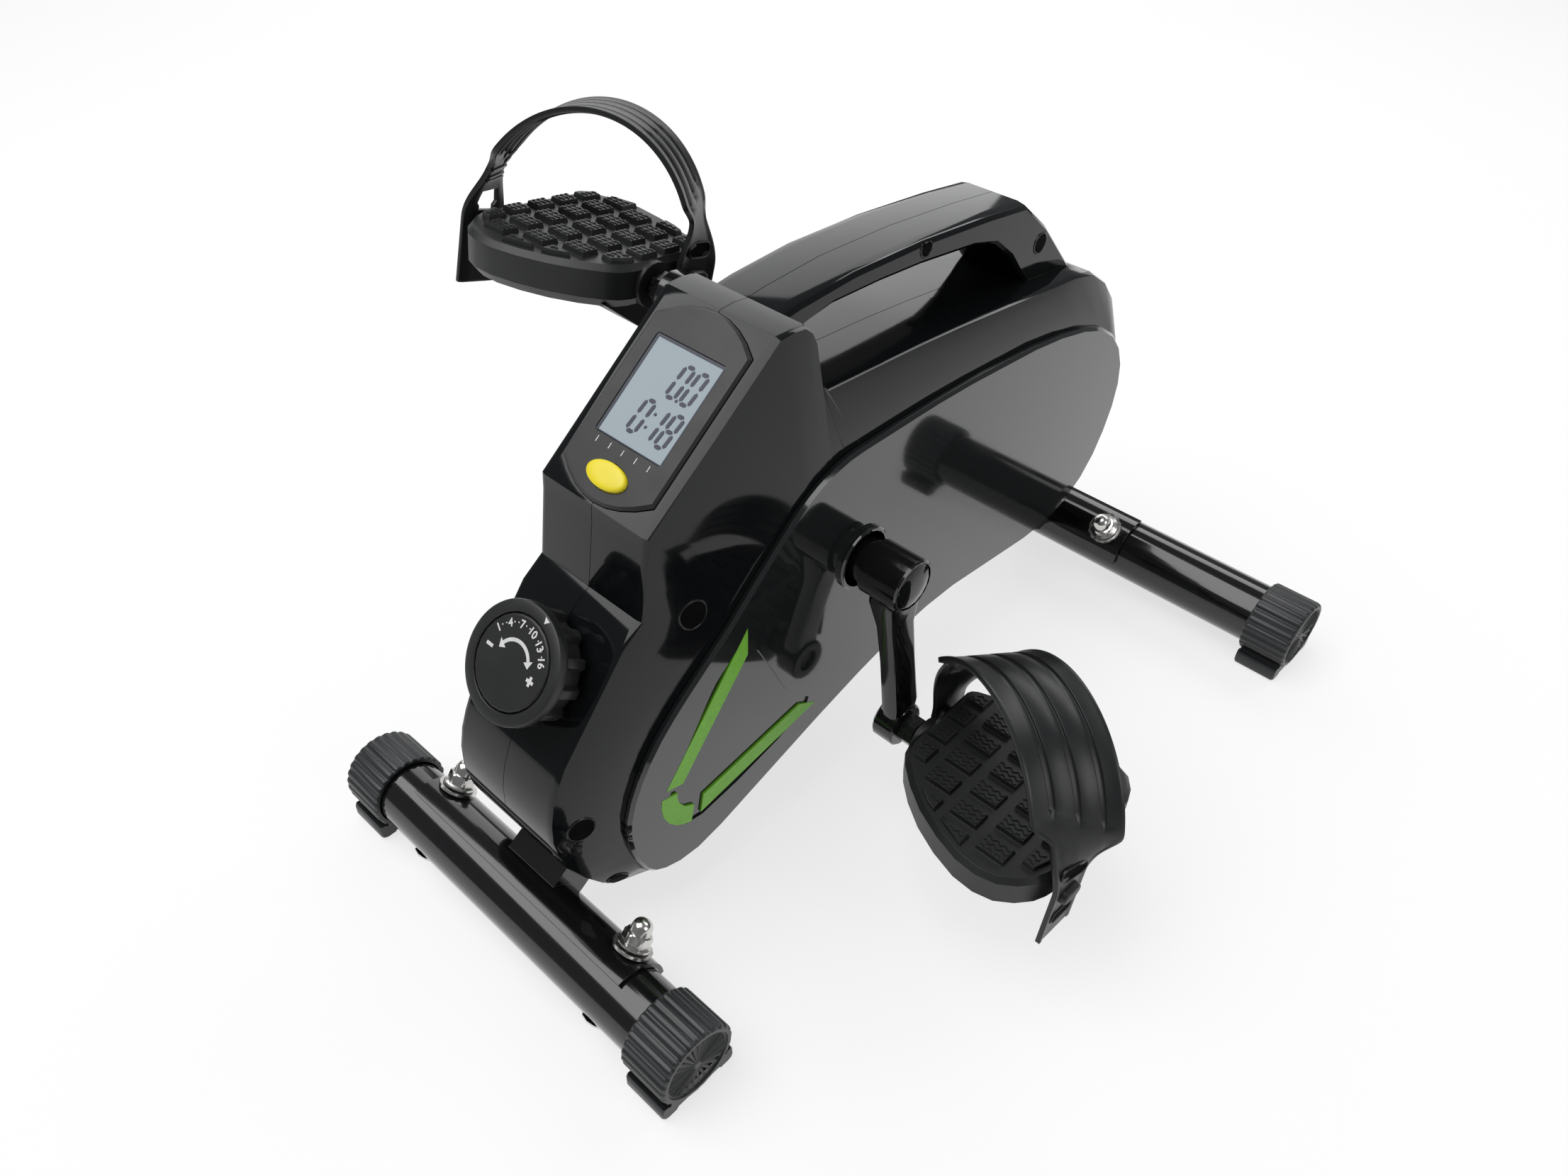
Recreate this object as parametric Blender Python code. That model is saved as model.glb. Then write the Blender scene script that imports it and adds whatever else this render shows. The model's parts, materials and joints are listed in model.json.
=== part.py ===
"""Pedal exerciser: two stabiliser bars, a welded frame, a moulded housing with a carry handle and a
magnetic brake, cranks with strapped pedals, a sloping console and a resistance dial.

Sizes are millimetres. The object stands on z = 0, the dial and the console face -Y, and the cranks
turn about an axis along X.
"""
import bpy
import bmesh
import math
from mathutils import Matrix, Vector

MM = 0.001
GAP = 0.3

# Stabiliser bars and end caps
TUBE_R = 19.0
TUBE_WALL = 1.5
TUBE_SPACING = 453.0
FRONT_HALF = 129.0
REAR_HALF = 196.0
CAP_WALL = 3.2
CAP_LENGTH = 29.0
CAP_END = 4.0
CAP_RIBS = 13
CAP_RIB_DEPTH = 0.7
FOOT_HALF = 23.0
FOOT_DROP = 24.5

# Saddles and their bolts
SADDLE_T = 2.4
SADDLE_FRONT_HALF = 82.0
SADDLE_REAR_HALF = 75.0
SADDLE_LEAN = 38.0
SADDLE_SPAN = 104.0
BOLT_R = 4.0
BOLT_FRONT_X = 70.0
BOLT_REAR_X = 60.0
BOLT_HEAD_R = 8.5
BOLT_HEAD_H = 3.2
WASHER_R = 10.5
WASHER_T = 1.6
NUT_ACROSS = 13.0
NUT_H = 7.0
NUT_DOME = 7.5

# Frame
BEAM_HALF = 18.0
BEAM_DEPTH = 24.0
WEB_HALF = 5.0
CRANK_Y = 198.5
CRANK_Z = 134.5
SHELL_R = 21.0
SHELL_HALF = 19.0
FLY_Y = 350.0
FLY_Z = 117.0
AXLE_R = 5.0
PIVOT_Y = 262.0
PIVOT_Z = 176.0
PIN_R = 4.0

# Housing and side covers
WALL = 2.5
BODY_HALF = 34.0
SIDE_HALF = 43.0
EDGE = 3.0
COVER_T = 3.6
COVER_EDGE = 1.6
COVER_INSET = 1.2
POCKET_DEPTH = 1.0
COLLAR_R = 17.5
COLLAR_T = 2.0
COLLAR_H = 2.6
HANDLE_HALF = 21.0
HANDLE_FLAT = 15.0

# Cranks
SPINDLE_R = 8.0
THREAD_R = 5.0
BEARING_R = 16.0
BEARING_W = 8.0
CRANK_LENGTH = 90.0
BOSS_R = 14.6
BOSS_IN = 55.0
BOSS_OUT = 80.0
NECK_R = 12.0
ARM_THICK = 11.0
ARM_WIDTH = 19.0
ARM_FLARE = 10.0
EYE_R = 12.5
CAP_R = 12.6
CAP_DEPTH = 4.0
NUT_R = 9.6
CRANK_LEAN = -3.0

# Drive and brake
PULLEY_R = 72.0
PULLEY_W = 9.0
PULLEY_X = 24.0
SMALL_R = 13.0
BELT_T = 2.2
FLY_R = 58.0
FLY_W = 14.0
FLY_X = -32.0
MAGNET_GAP = 2.0
CABLE_R = 1.6
SENSOR_R = 3.0

# Pedals
PEDAL_IN = 102.0
PEDAL_W = 100.0
PEDAL_TOP = 12.0
PEDAL_BOTTOM = -10.0
KEEL_DROP = 17.0
AXLE_THREAD_R = 6.5
FLAT_ACROSS = 15.0
FLAT_LENGTH = 9.0
PEDAL_AXLE_R = 6.0
AXLE_END = 64.0
TREAD_H = 2.6
TREAD_PITCH = 21.5
TREAD_STEP = 16.0
TREAD_GAP = 4.5
PEG_R = 2.6
PEG_H = 4.0
STRAP_T = 2.6
STRAP_W = 54.0
STRAP_END_W = 22.0
STRAP_RISE = 72.0
STRAP_STAND = 3.2
STRAP_INNER = 24.0
STRAP_OUTER = -28.0
STRAP_TAIL = 14.0
STRAP_LEAN = 8.0
RIGHT_TILT = 1.0
LEFT_TILT = -10.0

# Dial
DIAL_Y = 21.4
DIAL_Z = 157.0
DIAL_LEAN = 41.0
KNOB_R = 28.0
KNOB_H = 20.0
KNOB_LOBES = 12
KNOB_LOBE_H = 1.3
SCALE_R = 21.8
SCALE_T = 4.0
SHAFT_R = 8.0
SHAFT_LENGTH = 34.0

# Console
CONSOLE_Y = 74.0
CONSOLE_Z = 212.0
CONSOLE_SLOPE = 36.6
CONSOLE_HALF = 28.5
CONSOLE_FOOT = 1.5
CONSOLE_TOP = 95.5
CONSOLE_BOW = 11.0
CONSOLE_DEPTH = 11.0
CONSOLE_RAISE = 1.6
LCD_HALF = 20.5
LCD_START = 28.0
LCD_LENGTH = 49.0
LENS_T = 2.0
BUTTON_AT = 13.5
BUTTON_LONG = 11.6
BUTTON_SHORT = 6.0
BUTTON_TRAVEL = 1.5
BOARD_T = 1.6

FRONT_Y = -TUBE_SPACING / 2
REAR_Y = TUBE_SPACING / 2
AXIS_Z = FOOT_DROP


def at(y, z):
    """Side-view point, measured from the front bar's axis, in the part's frame."""
    return (y + FRONT_Y, z + AXIS_Z)


CRANK = at(CRANK_Y, CRANK_Z)
FLY = at(FLY_Y, FLY_Z)
PIVOT = at(PIVOT_Y, PIVOT_Z)
DIAL = at(DIAL_Y, DIAL_Z)
CONSOLE = at(CONSOLE_Y, CONSOLE_Z)

for old in list(bpy.data.objects):
    bpy.data.objects.remove(old, do_unlink=True)


# Materials

def material(name, colour, roughness, metallic=0.0):
    mat = bpy.data.materials.new(name)
    mat.use_nodes = True
    bsdf = mat.node_tree.nodes["Principled BSDF"]
    bsdf.inputs["Base Color"].default_value = (*colour, 1.0)
    bsdf.inputs["Roughness"].default_value = roughness
    bsdf.inputs["Metallic"].default_value = metallic
    return mat


SHELL_BLACK = material("shell_black", (0.012, 0.013, 0.015), 0.16)
COVER_GREY = material("cover_grey", (0.045, 0.048, 0.052), 0.08)
TUBE_BLACK = material("tube_black", (0.012, 0.013, 0.015), 0.22, 0.3)
CAP_BLACK = material("cap_black", (0.02, 0.02, 0.021), 0.5)
PEDAL_BLACK = material("pedal_black", (0.022, 0.023, 0.024), 0.6)
STRAP_BLACK = material("strap_black", (0.03, 0.031, 0.032), 0.4)
ZINC = material("zinc", (0.62, 0.62, 0.6), 0.22, 1.0)
STEEL = material("steel", (0.5, 0.5, 0.5), 0.35, 1.0)
BEZEL_GREY = material("bezel_grey", (0.07, 0.068, 0.065), 0.35)
LCD_GREY = material("lcd_grey", (0.45, 0.5, 0.53), 0.1)
BUTTON_YELLOW = material("button_yellow", (0.85, 0.78, 0.12), 0.45)
BOARD_GREEN = material("board_green", (0.03, 0.16, 0.07), 0.5)
RUBBER = material("belt_rubber", (0.015, 0.015, 0.015), 0.8)
MAGNET_GREY = material("magnet_grey", (0.1, 0.1, 0.1), 0.6)


# Modelling helpers

groups = {}


def group(name, place, parent=None, tilt=0.0):
    """An empty on a joint's axis that carries the pieces of one body."""
    empty = bpy.data.objects.new(name, None)
    bpy.context.scene.collection.objects.link(empty)
    origin = Vector(place) * MM
    if parent:
        empty.parent = groups[parent]
        empty.location = origin - groups[parent].matrix_world.translation
    else:
        empty.location = origin
    empty.rotation_euler = (math.radians(tilt), 0, 0)
    bpy.context.view_layer.update()
    groups[name] = empty
    return empty


def to_object(name, bm, scale=MM):
    bmesh.ops.recalc_face_normals(bm, faces=bm.faces)
    bmesh.ops.scale(bm, vec=(scale, scale, scale), verts=bm.verts)
    mesh = bpy.data.meshes.new(name)
    bm.to_mesh(mesh)
    bm.free()
    obj = bpy.data.objects.new(name, mesh)
    bpy.context.scene.collection.objects.link(obj)
    return obj


def node(name, bm, mat, body, local=False):
    """A named piece; its mesh is given in the part's frame, or in its body's frame when local."""
    home = groups[body]
    if not local:
        bm.transform(Matrix.Translation(-home.matrix_world.translation / MM))
    obj = to_object(name, bm)
    obj.parent = home
    obj.data.materials.append(mat)
    return obj


def cutter(name, bm, body=None):
    obj = to_object("cut_" + name, bm)
    if body:
        obj.parent = groups[body]
    obj.hide_render = True
    obj.display_type = "WIRE"
    return obj


def combine(obj, other, operation="DIFFERENCE"):
    mod = obj.modifiers.new(other.name, "BOOLEAN")
    mod.operation = operation
    mod.solver = "EXACT"
    mod.object = other
    return obj


def loft(rings, caps=True):
    """A closed solid through rings of the same count of points."""
    bm = bmesh.new()
    loops = [[bm.verts.new(p) for p in ring] for ring in rings]
    for low, high in zip(loops, loops[1:]):
        count = len(low)
        for i in range(count):
            j = (i + 1) % count
            bm.faces.new((low[i], low[j], high[j], high[i]))
    if caps:
        bm.faces.new(loops[0])
        bm.faces.new(loops[-1])
    else:
        low, high = loops[-1], loops[0]
        for i in range(len(low)):
            j = (i + 1) % len(low)
            bm.faces.new((low[i], low[j], high[j], high[i]))
    return bm


def prism(outline, x0, x1):
    """A side-view outline pushed along X."""
    return loft([[(x, y, z) for y, z in outline] for x in (x0, x1)])


def lathe(profile, count=32, ring=False):
    """Turns (along, radius) points about X; a ring profile is closed and stays off the axis."""
    turns = [2 * math.pi * i / count for i in range(count)]
    if ring:
        rings = [[(a, r * math.cos(t), r * math.sin(t)) for a, r in profile] for t in turns]
        return loft(rings, caps=False)
    return loft([[(a, r * math.cos(t), r * math.sin(t)) for t in turns] for a, r in profile])


def moved(bm, x=0.0, y=0.0, z=0.0, turn=0.0):
    """Turns a shape about X and moves it."""
    bm.transform(Matrix.Translation((x, y, z)) @ Matrix.Rotation(math.radians(turn), 4, "X"))
    return bm


def aimed(bm, place, lean):
    """Stands a shape made along X up along Z, leans it about X and puts it in place."""
    stand = Matrix.Rotation(math.radians(-90), 4, "Y")
    bm.transform(Matrix.Translation(place) @ Matrix.Rotation(math.radians(lean), 4, "X") @ stand)
    return bm


def mirrored(bm, side):
    if side < 0:
        bmesh.ops.scale(bm, vec=(-1, 1, 1), verts=bm.verts)
    return bm


def cylinder(x0, x1, radius, y=0.0, z=0.0, count=32):
    return moved(lathe([(x0, radius), (x1, radius)], count), 0, y, z)


def washer_ring(x0, x1, inner, outer, count=32):
    return lathe([(x0, inner), (x1, inner), (x1, outer), (x0, outer)], count, ring=True)


def inset(outline, distance):
    """Moves each side of a closed outline inward."""
    count = len(outline)
    area = sum(outline[i - 1][0] * outline[i][1] - outline[i][0] * outline[i - 1][1] for i in range(count))
    sign = 1 if area > 0 else -1
    out = []
    for i in range(count):
        before = Vector(outline[i]) - Vector(outline[i - 1])
        after = Vector(outline[(i + 1) % count]) - Vector(outline[i])
        n0 = Vector((-before.y, before.x)).normalized() * sign
        n1 = Vector((-after.y, after.x)).normalized() * sign
        bisector = (n0 + n1).normalized()
        step = distance / max(0.5, bisector.dot(n1))
        out.append(tuple(Vector(outline[i]) + bisector * step))
    return out


def smooth(points, steps=2):
    """A closed curve through points; a point marked sharp keeps its corner."""
    count = len(points)
    out = []
    for i in range(count):
        p0, p1, p2, p3 = (points[(i + k) % count] for k in (-1, 0, 1, 2))
        a, b = Vector(p1[:2]), Vector(p2[:2])
        m0 = (b - a) if p1[2] else (b - Vector(p0[:2])) / 2
        m1 = (b - a) if p2[2] else (Vector(p3[:2]) - a) / 2
        for k in range(steps):
            t = k / steps
            h = (2 * t**3 - 3 * t**2 + 1, t**3 - 2 * t**2 + t, -2 * t**3 + 3 * t**2, t**3 - t**2)
            out.append(tuple(a * h[0] + m0 * h[1] + b * h[2] + m1 * h[3]))
    return out


def polar(radius, degrees, centre=(0.0, 0.0)):
    t = math.radians(degrees)
    return (centre[0] + radius * math.cos(t), centre[1] + radius * math.sin(t))


# Bodies

group("base", (0, 0, 0))
group("crank", (0, *CRANK))
lean = math.radians(CRANK_LEAN)
NEAR_AXLE = (CRANK[0] + CRANK_LENGTH * math.sin(lean), CRANK[1] - CRANK_LENGTH * math.cos(lean))
FAR_AXLE = (2 * CRANK[0] - NEAR_AXLE[0], 2 * CRANK[1] - NEAR_AXLE[1])
group("pedal_right", (0, *NEAR_AXLE), "crank", RIGHT_TILT)
group("pedal_left", (0, *FAR_AXLE), "crank", LEFT_TILT)
group("flywheel_body", (0, *FLY))
group("brake_body", (0, *PIVOT))
group("knob_body", (0, *DIAL), None, 0.0)
group("button_body", (0, *CONSOLE))


# Stabiliser bars: tubes, ribbed end caps with feet, saddle bolts

CAP_OUT = TUBE_R + GAP + CAP_WALL


def bolt_axis(y, lean_angle, distance):
    """Point on a saddle bolt at a distance from the bar's axis."""
    t = math.radians(lean_angle)
    return (y + distance * math.sin(t), AXIS_Z + distance * math.cos(t))


def stabiliser(name, y, half, lean_angle, bolt_x):
    tube_half = half - CAP_END - GAP
    pipe = washer_ring(-tube_half, tube_half, TUBE_R - TUBE_WALL, TUBE_R, 22)
    tube = node(name + "_tube", moved(pipe, 0, y, AXIS_Z),
                TUBE_BLACK, "base")
    for side, word in ((1, "right"), (-1, "left")):
        hole = aimed(lathe([(-2 * TUBE_R, BOLT_R + GAP), (2 * TUBE_R, BOLT_R + GAP)], 12),
                     (side * bolt_x, y, AXIS_Z), -lean_angle)
        combine(tube, cutter(name + "_" + word, hole))
        end_cap(name + "_cap_" + word, y, half, side)
        fastener(name, word, side * bolt_x, y, lean_angle)


def end_cap(name, y, half, side):
    """Ribbed sleeve with a sunburst end and a foot."""
    count = CAP_RIBS * 2
    start = half - CAP_LENGTH

    def ring(x, scale, wave):
        points = []
        for i in range(count):
            drop = CAP_RIB_DEPTH if i % 2 else 0.0
            points.append((x - wave * drop, *polar((CAP_OUT - drop) * scale, 360 * i / count)))
        return points

    bm = loft([ring(start, 0.97, 0), ring(start + 1.5, 1, 0), ring(half - 2, 1, 0), ring(half, 0.94, 0),
               ring(half, 0.8, 0), ring(half - 0.8, 0.74, 1.4), ring(half - 0.8, 0.12, 1.4)])
    cap = node(name, mirrored(moved(bm, 0, y, AXIS_Z), side), CAP_BLACK, "base")
    top = AXIS_Z - TUBE_R * 0.55
    foot = [(-FOOT_HALF, 0), (-FOOT_HALF + 9, 0), (-FOOT_HALF + 12, 2.2), (0, 1.2), (FOOT_HALF - 12, 2.2),
            (FOOT_HALF - 9, 0), (FOOT_HALF, 0), (FOOT_HALF - 1, 6), (CAP_OUT * 0.86, top), (-CAP_OUT * 0.86, top),
            (1 - FOOT_HALF, 6)]
    block = prism([(y + a, b) for a, b in foot], start + 2, half - 1)
    combine(cap, cutter(name + "_foot", mirrored(block, side)), "UNION")
    bore = mirrored(cylinder(start - 2, half - CAP_END, TUBE_R + GAP, y, AXIS_Z, 28), side)
    combine(cap, cutter(name + "_bore", bore))


def fastener(name, word, x, y, lean_angle):
    """Carriage bolt from below, curved washer and acorn nut on the saddle."""
    head = TUBE_R + GAP
    seat = TUBE_R + GAP + SADDLE_T + GAP
    nut_base = seat + WASHER_T + GAP + 0.6
    place = (x, y, AXIS_Z)
    tip = nut_base + NUT_H
    rod = lathe([(-head - BOLT_HEAD_H, 3.0), (-head - BOLT_HEAD_H + 0.6, 5.6), (-head - 1.2, BOLT_HEAD_R - 0.6),
                 (-head - 0.4, BOLT_HEAD_R), (-head, BOLT_HEAD_R), (-head, BOLT_R), (tip, BOLT_R)], 12)
    node(name + "_bolt_" + word, aimed(rod, place, -lean_angle), ZINC, "base")
    flat = washer_ring(seat, seat + WASHER_T, BOLT_R + GAP, WASHER_R, 14)
    node(name + "_washer_" + word, aimed(flat, place, -lean_angle), ZINC, "base")
    radius = NUT_ACROSS / math.sqrt(3)
    collar = lathe([(nut_base, WASHER_R * 0.82), (nut_base + 1.2, WASHER_R * 0.8), (nut_base + 1.4, radius),
                    (nut_base + NUT_H, radius), (nut_base + NUT_H + 0.4, NUT_ACROSS * 0.44),
                    (nut_base + NUT_H + NUT_DOME * 0.6, NUT_ACROSS * 0.37),
                    (nut_base + NUT_H + NUT_DOME, NUT_ACROSS * 0.14)], 12)
    nut = node(name + "_nut_" + word, aimed(collar, place, -lean_angle), ZINC, "base")
    bore = lathe([(nut_base - 2, BOLT_R + GAP), (tip + GAP, BOLT_R + GAP)], 12)
    combine(nut, cutter(name + "_nut_" + word, aimed(bore, place, -lean_angle)))


stabiliser("front", FRONT_Y, FRONT_HALF, SADDLE_LEAN, BOLT_FRONT_X)
stabiliser("rear", REAR_Y, REAR_HALF, -SADDLE_LEAN, BOLT_REAR_X)


# Welded frame: saddles, two beams, bottom bracket shell, web, brake pin

def saddle(y, half, lean_angle):
    inner = TUBE_R + GAP
    arc = [90 - lean_angle - SADDLE_SPAN / 2 + SADDLE_SPAN * i / 13 for i in range(14)]
    outline = [polar(inner + SADDLE_T, a, (y, AXIS_Z)) for a in arc]
    outline += [polar(inner, a, (y, AXIS_Z)) for a in reversed(arc)]
    return prism(outline, -half, half)


def beam(y, toward, half_depth):
    """Box section from a saddle to the bottom bracket shell."""
    foot = Vector((y, AXIS_Z))
    top = Vector(toward)
    run = (top - foot).normalized()
    across = Vector((-run.y, run.x)) * half_depth
    corners = [foot + across, foot - across, top - across, top + across]
    return [tuple(c) for c in corners]


frame = node("main_frame", saddle(FRONT_Y, SADDLE_FRONT_HALF, SADDLE_LEAN), TUBE_BLACK, "base")
combine(frame, cutter("frame_rear_saddle", saddle(REAR_Y, SADDLE_REAR_HALF, -SADDLE_LEAN)), "UNION")
for word, y in (("front", FRONT_Y), ("rear", REAR_Y)):
    bar = cutter("frame_beam_" + word, prism(beam(y, CRANK, BEAM_DEPTH / 2), -BEAM_HALF, BEAM_HALF))
    coped = cylinder(-2 * BEAM_HALF, 2 * BEAM_HALF, TUBE_R + GAP + SADDLE_T / 2, y, AXIS_Z, 30)
    combine(bar, cutter("frame_cope_" + word, coped))
    combine(frame, bar, "UNION")
combine(frame, cutter("frame_shell", cylinder(-SHELL_HALF, SHELL_HALF, SHELL_R, *CRANK, 24)), "UNION")
web = [at(CRANK_Y - 6, CRANK_Z + 8), at(PIVOT_Y - 12, PIVOT_Z + 8), at(PIVOT_Y + 8, PIVOT_Z + 10),
       at(FLY_Y + 12, FLY_Z + 12), at(FLY_Y + 14, FLY_Z - 10), at(FLY_Y - 2, FLY_Z - 56),
       at(CRANK_Y + 8, CRANK_Z - 6)]
combine(frame, cutter("frame_web", prism(web, -WEB_HALF, WEB_HALF)), "UNION")
combine(frame, cutter("frame_pin", cylinder(FLY_X - FLY_W / 2, 0, PIN_R, *PIVOT, 12)), "UNION")
combine(frame, cutter("frame_bb", cylinder(-2 * SHELL_HALF, 2 * SHELL_HALF, BEARING_R + GAP, *CRANK, 24)))
combine(frame, cutter("frame_axle", cylinder(-2 * WEB_HALF, 2 * WEB_HALF, AXLE_R + GAP, *FLY, 12)))
for side in (1, -1):
    for y, lean_angle, x in ((FRONT_Y, SADDLE_LEAN, BOLT_FRONT_X), (REAR_Y, -SADDLE_LEAN, BOLT_REAR_X)):
        hole = aimed(lathe([(0, BOLT_R + GAP), (2 * TUBE_R, BOLT_R + GAP)], 12), (side * x, y, AXIS_Z), -lean_angle)
        combine(frame, cutter("frame_bolt", hole))


# Housing halves: a lofted shell with a carry handle, a console seat and a dial seat.
# Each row is the body outline point, the side outline point beside it and whether the corner is sharp.

OUTLINE = [
    ((26, 20), (44, 25), 0),
    ((9, 50), (37, 48), 0),
    ((3, 76), (37, 70), 0),
    ((7, 100), (46, 92), 0),
    ((16, 118), (60, 111), 1),
    ((36, 141), (78, 127), 1),
    ((55, 163), (95, 140), 1),
    ((67, 171), (109, 151), 1),
    ((73, 203), (122, 163), 1),
    ((CONSOLE_Y, CONSOLE_Z), (138, 177), 1),
    ((152, 270), (153, 189), 1),
    ((168, 269), (165, 196), 0),
    ((176, 258), (174, 199), 0),
    ((178, 240), (182, 201), 0),
    ((184, 232), (196, 202), 1),
    ((250, 226), (250, 201), 0),
    ((306, 219), (306, 197), 0),
    ((362, 211), (358, 190), 0),
    ((402, 203), (402, 176), 0),
    ((430, 178), (428, 153), 0),
    ((443, 144), (438, 124), 0),
    ((441, 104), (433, 92), 0),
    ((425, 64), (416, 64), 0),
    ((384, 42), (382, 48), 0),
    ((330, 44), (330, 51), 0),
    ((286, 50), (286, 56), 0),
    ((236, 46), (236, 53), 0),
    ((170, 29), (172, 36), 0),
    ((116, 11), (118, 18), 0),
    ((80, 0), (80, 8), 0),
    ((46, 6), (56, 13), 0),
]
BODY = [at(*p) for p in smooth([(*b, s) for b, _, s in OUTLINE])]
SIDE = [at(*p) for p in smooth([(*c, 0) for _, c, _ in OUTLINE])]


def ring_at(x, outline):
    return [(x, y, z) for y, z in outline]


def body_block(wall, split, pick=1):
    """Half of the body, inset by wall; pick thins out the outline's points."""
    body = BODY[::pick]
    return loft([ring_at(split, inset(body, wall)), ring_at(BODY_HALF - EDGE, inset(body, wall)),
                 ring_at(BODY_HALF - wall * 0.3, inset(body, wall + EDGE * 0.4)),
                 ring_at(SIDE_HALF - wall, inset(SIDE[::pick], wall))])


GRIP_TOP = [(150, 267), (178, 270), (214, 271), (262, 268), (312, 262), (344, 257), (366, 239),
            (392, 211), (416, 186)]
GRIP_LOW = [(160, 250), (184, 258), (200, 260), (232, 258), (262, 255), (302, 249), (322, 243),
            (338, 230), (352, 213), (390, 176)]


def grip_block(split):
    """Half of the carry handle, rounded towards its side."""
    def ring(x, sink):
        upper = [(x, *at(y, z - sink)) for y, z in GRIP_TOP]
        lower = [(x, *at(y, z + sink)) for y, z in reversed(GRIP_LOW)]
        return upper + lower
    return loft([ring(split, 0), ring(HANDLE_FLAT, 0), ring(HANDLE_HALF - 1.6, 0.9), ring(HANDLE_HALF, 3)])


def along_console(s, n):
    """Side-view point at s up the console's slope and n above it."""
    t = math.radians(CONSOLE_SLOPE)
    return (CONSOLE[0] + s * math.cos(t) - n * math.sin(t), CONSOLE[1] + s * math.sin(t) + n * math.cos(t))


def console_slab(s0, s1, half, n0, n1, corner):
    """A plate on the console's slope with rounded corners."""
    flat = rounded(s0, s1, -half, half, corner)
    return loft([[(b, *along_console(a, n)) for a, b in flat] for n in (n0, n1)])


def console_rim(grow):
    """Outline of the console with bowed ends, as (up the slope, across) points."""
    half = CONSOLE_HALF + grow
    steps = [i / 4 - 1 for i in range(9)]
    top = [(CONSOLE_TOP + grow - CONSOLE_BOW * k * k, half * k) for k in steps]
    foot = [(CONSOLE_FOOT - grow + CONSOLE_BOW * k * k, half * k) for k in reversed(steps)]
    return top + foot


def console_plate(layers):
    """A plate of the console's outline through (height, growth) layers."""
    return loft([[(b, *along_console(a, n)) for a, b in console_rim(grow)] for n, grow in layers])


def rounded(a0, a1, b0, b1, radius, steps=4):
    out = []
    for ca, cb, start in ((a1 - radius, b1 - radius, 0), (a0 + radius, b1 - radius, 90),
                          (a0 + radius, b0 + radius, 180), (a1 - radius, b0 + radius, 270)):
        out += [polar(radius, start + 90 * k / steps, (ca, cb)) for k in range(steps + 1)]
    return out


def dial_turned(profile, count=24):
    """Turns (along, radius) points about the dial's axis, which points out of the housing."""
    return aimed(lathe(profile, count), (0, *DIAL), 90 - DIAL_LEAN)


for side, word in ((1, "right"), (-1, "left")):
    shell = node("housing_" + word, mirrored(body_block(0, GAP / 2), side), SHELL_BLACK, "base")
    combine(shell, cutter("grip_" + word, mirrored(grip_block(GAP / 2), side)), "UNION")
    combine(shell, cutter("hollow_" + word, mirrored(body_block(WALL, -5, 2), side)))
    seat = console_plate([(-CONSOLE_DEPTH - 1, GAP), (8, GAP)])
    combine(shell, cutter("console_seat_" + word, seat))
    combine(shell, cutter("dial_hole_" + word, dial_turned([(-60, SHAFT_R + GAP), (0, SHAFT_R + GAP)], 16)))
    hole = mirrored(cylinder(BODY_HALF - 4, SIDE_HALF + 4, COLLAR_R - COLLAR_T, *CRANK, 24), side)
    combine(shell, cutter("crank_hole_" + word, hole))
    for end, y in (("front", FRONT_Y), ("rear", REAR_Y)):
        way = prism(beam(y, CRANK, BEAM_DEPTH / 2 + GAP), -BEAM_HALF - GAP, BEAM_HALF + GAP)
        combine(shell, cutter("beam_way_" + end + "_" + word, way))


# Side covers with a crank collar and a shallow pocket

POCKET = smooth([(112, 133, 0), (66, 72, 0), (64, 50, 0), (84, 35, 0), (160, 54, 0), (146, 78, 0)], 3)

for side, word in ((1, "right"), (-1, "left")):
    x0 = SIDE_HALF + GAP
    x1 = x0 + COVER_T
    rim = inset(SIDE, COVER_INSET)
    face_rim = inset(SIDE, COVER_INSET + COVER_EDGE)
    plate = loft([ring_at(x0, rim), ring_at(x1 - COVER_EDGE, rim), ring_at(x1, face_rim)])
    cover = node("side_cover_" + word, mirrored(plate, side), COVER_GREY, "base")
    ring = lathe([(x0, COLLAR_R), (x1 + COLLAR_H - 0.8, COLLAR_R), (x1 + COLLAR_H, COLLAR_R - 0.8)], 28)
    combine(cover, cutter("collar_" + word, mirrored(moved(ring, 0, *CRANK), side)), "UNION")
    hole = cylinder(x0 - 3, x1 + COLLAR_H + 3, COLLAR_R - COLLAR_T, *CRANK, 24)
    combine(cover, cutter("cover_hole_" + word, mirrored(hole, side)))
    dip = prism([at(*p) for p in POCKET], x1 - POCKET_DEPTH, x1 + 3)
    combine(cover, cutter("pocket_" + word, mirrored(dip, side)))


# Console: case, lens over the display, board and button

case = node("console_case", console_plate([(-CONSOLE_DEPTH, 0), (CONSOLE_RAISE - 1, 0), (CONSOLE_RAISE, -1.2)]),
            BEZEL_GREY, "base")
LCD_END = LCD_START + LCD_LENGTH
window = console_slab(LCD_START, LCD_END, LCD_HALF, -LENS_T, CONSOLE_RAISE + 2, 1.5)
combine(case, cutter("lcd_window", window))
under = console_plate([(-CONSOLE_DEPTH - 2, -WALL), (-LENS_T - 1.2, -WALL)])
combine(case, cutter("console_hollow", under))


def button_shape(grow, n0, n1):
    outline = []
    for i in range(20):
        t = 2 * math.pi * i / 20
        outline.append((BUTTON_AT + (BUTTON_SHORT + grow) * math.sin(t), (BUTTON_LONG + grow) * math.cos(t)))
    return loft([[(b, *along_console(a, n)) for a, b in outline] for n in (n0, n1)])


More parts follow.
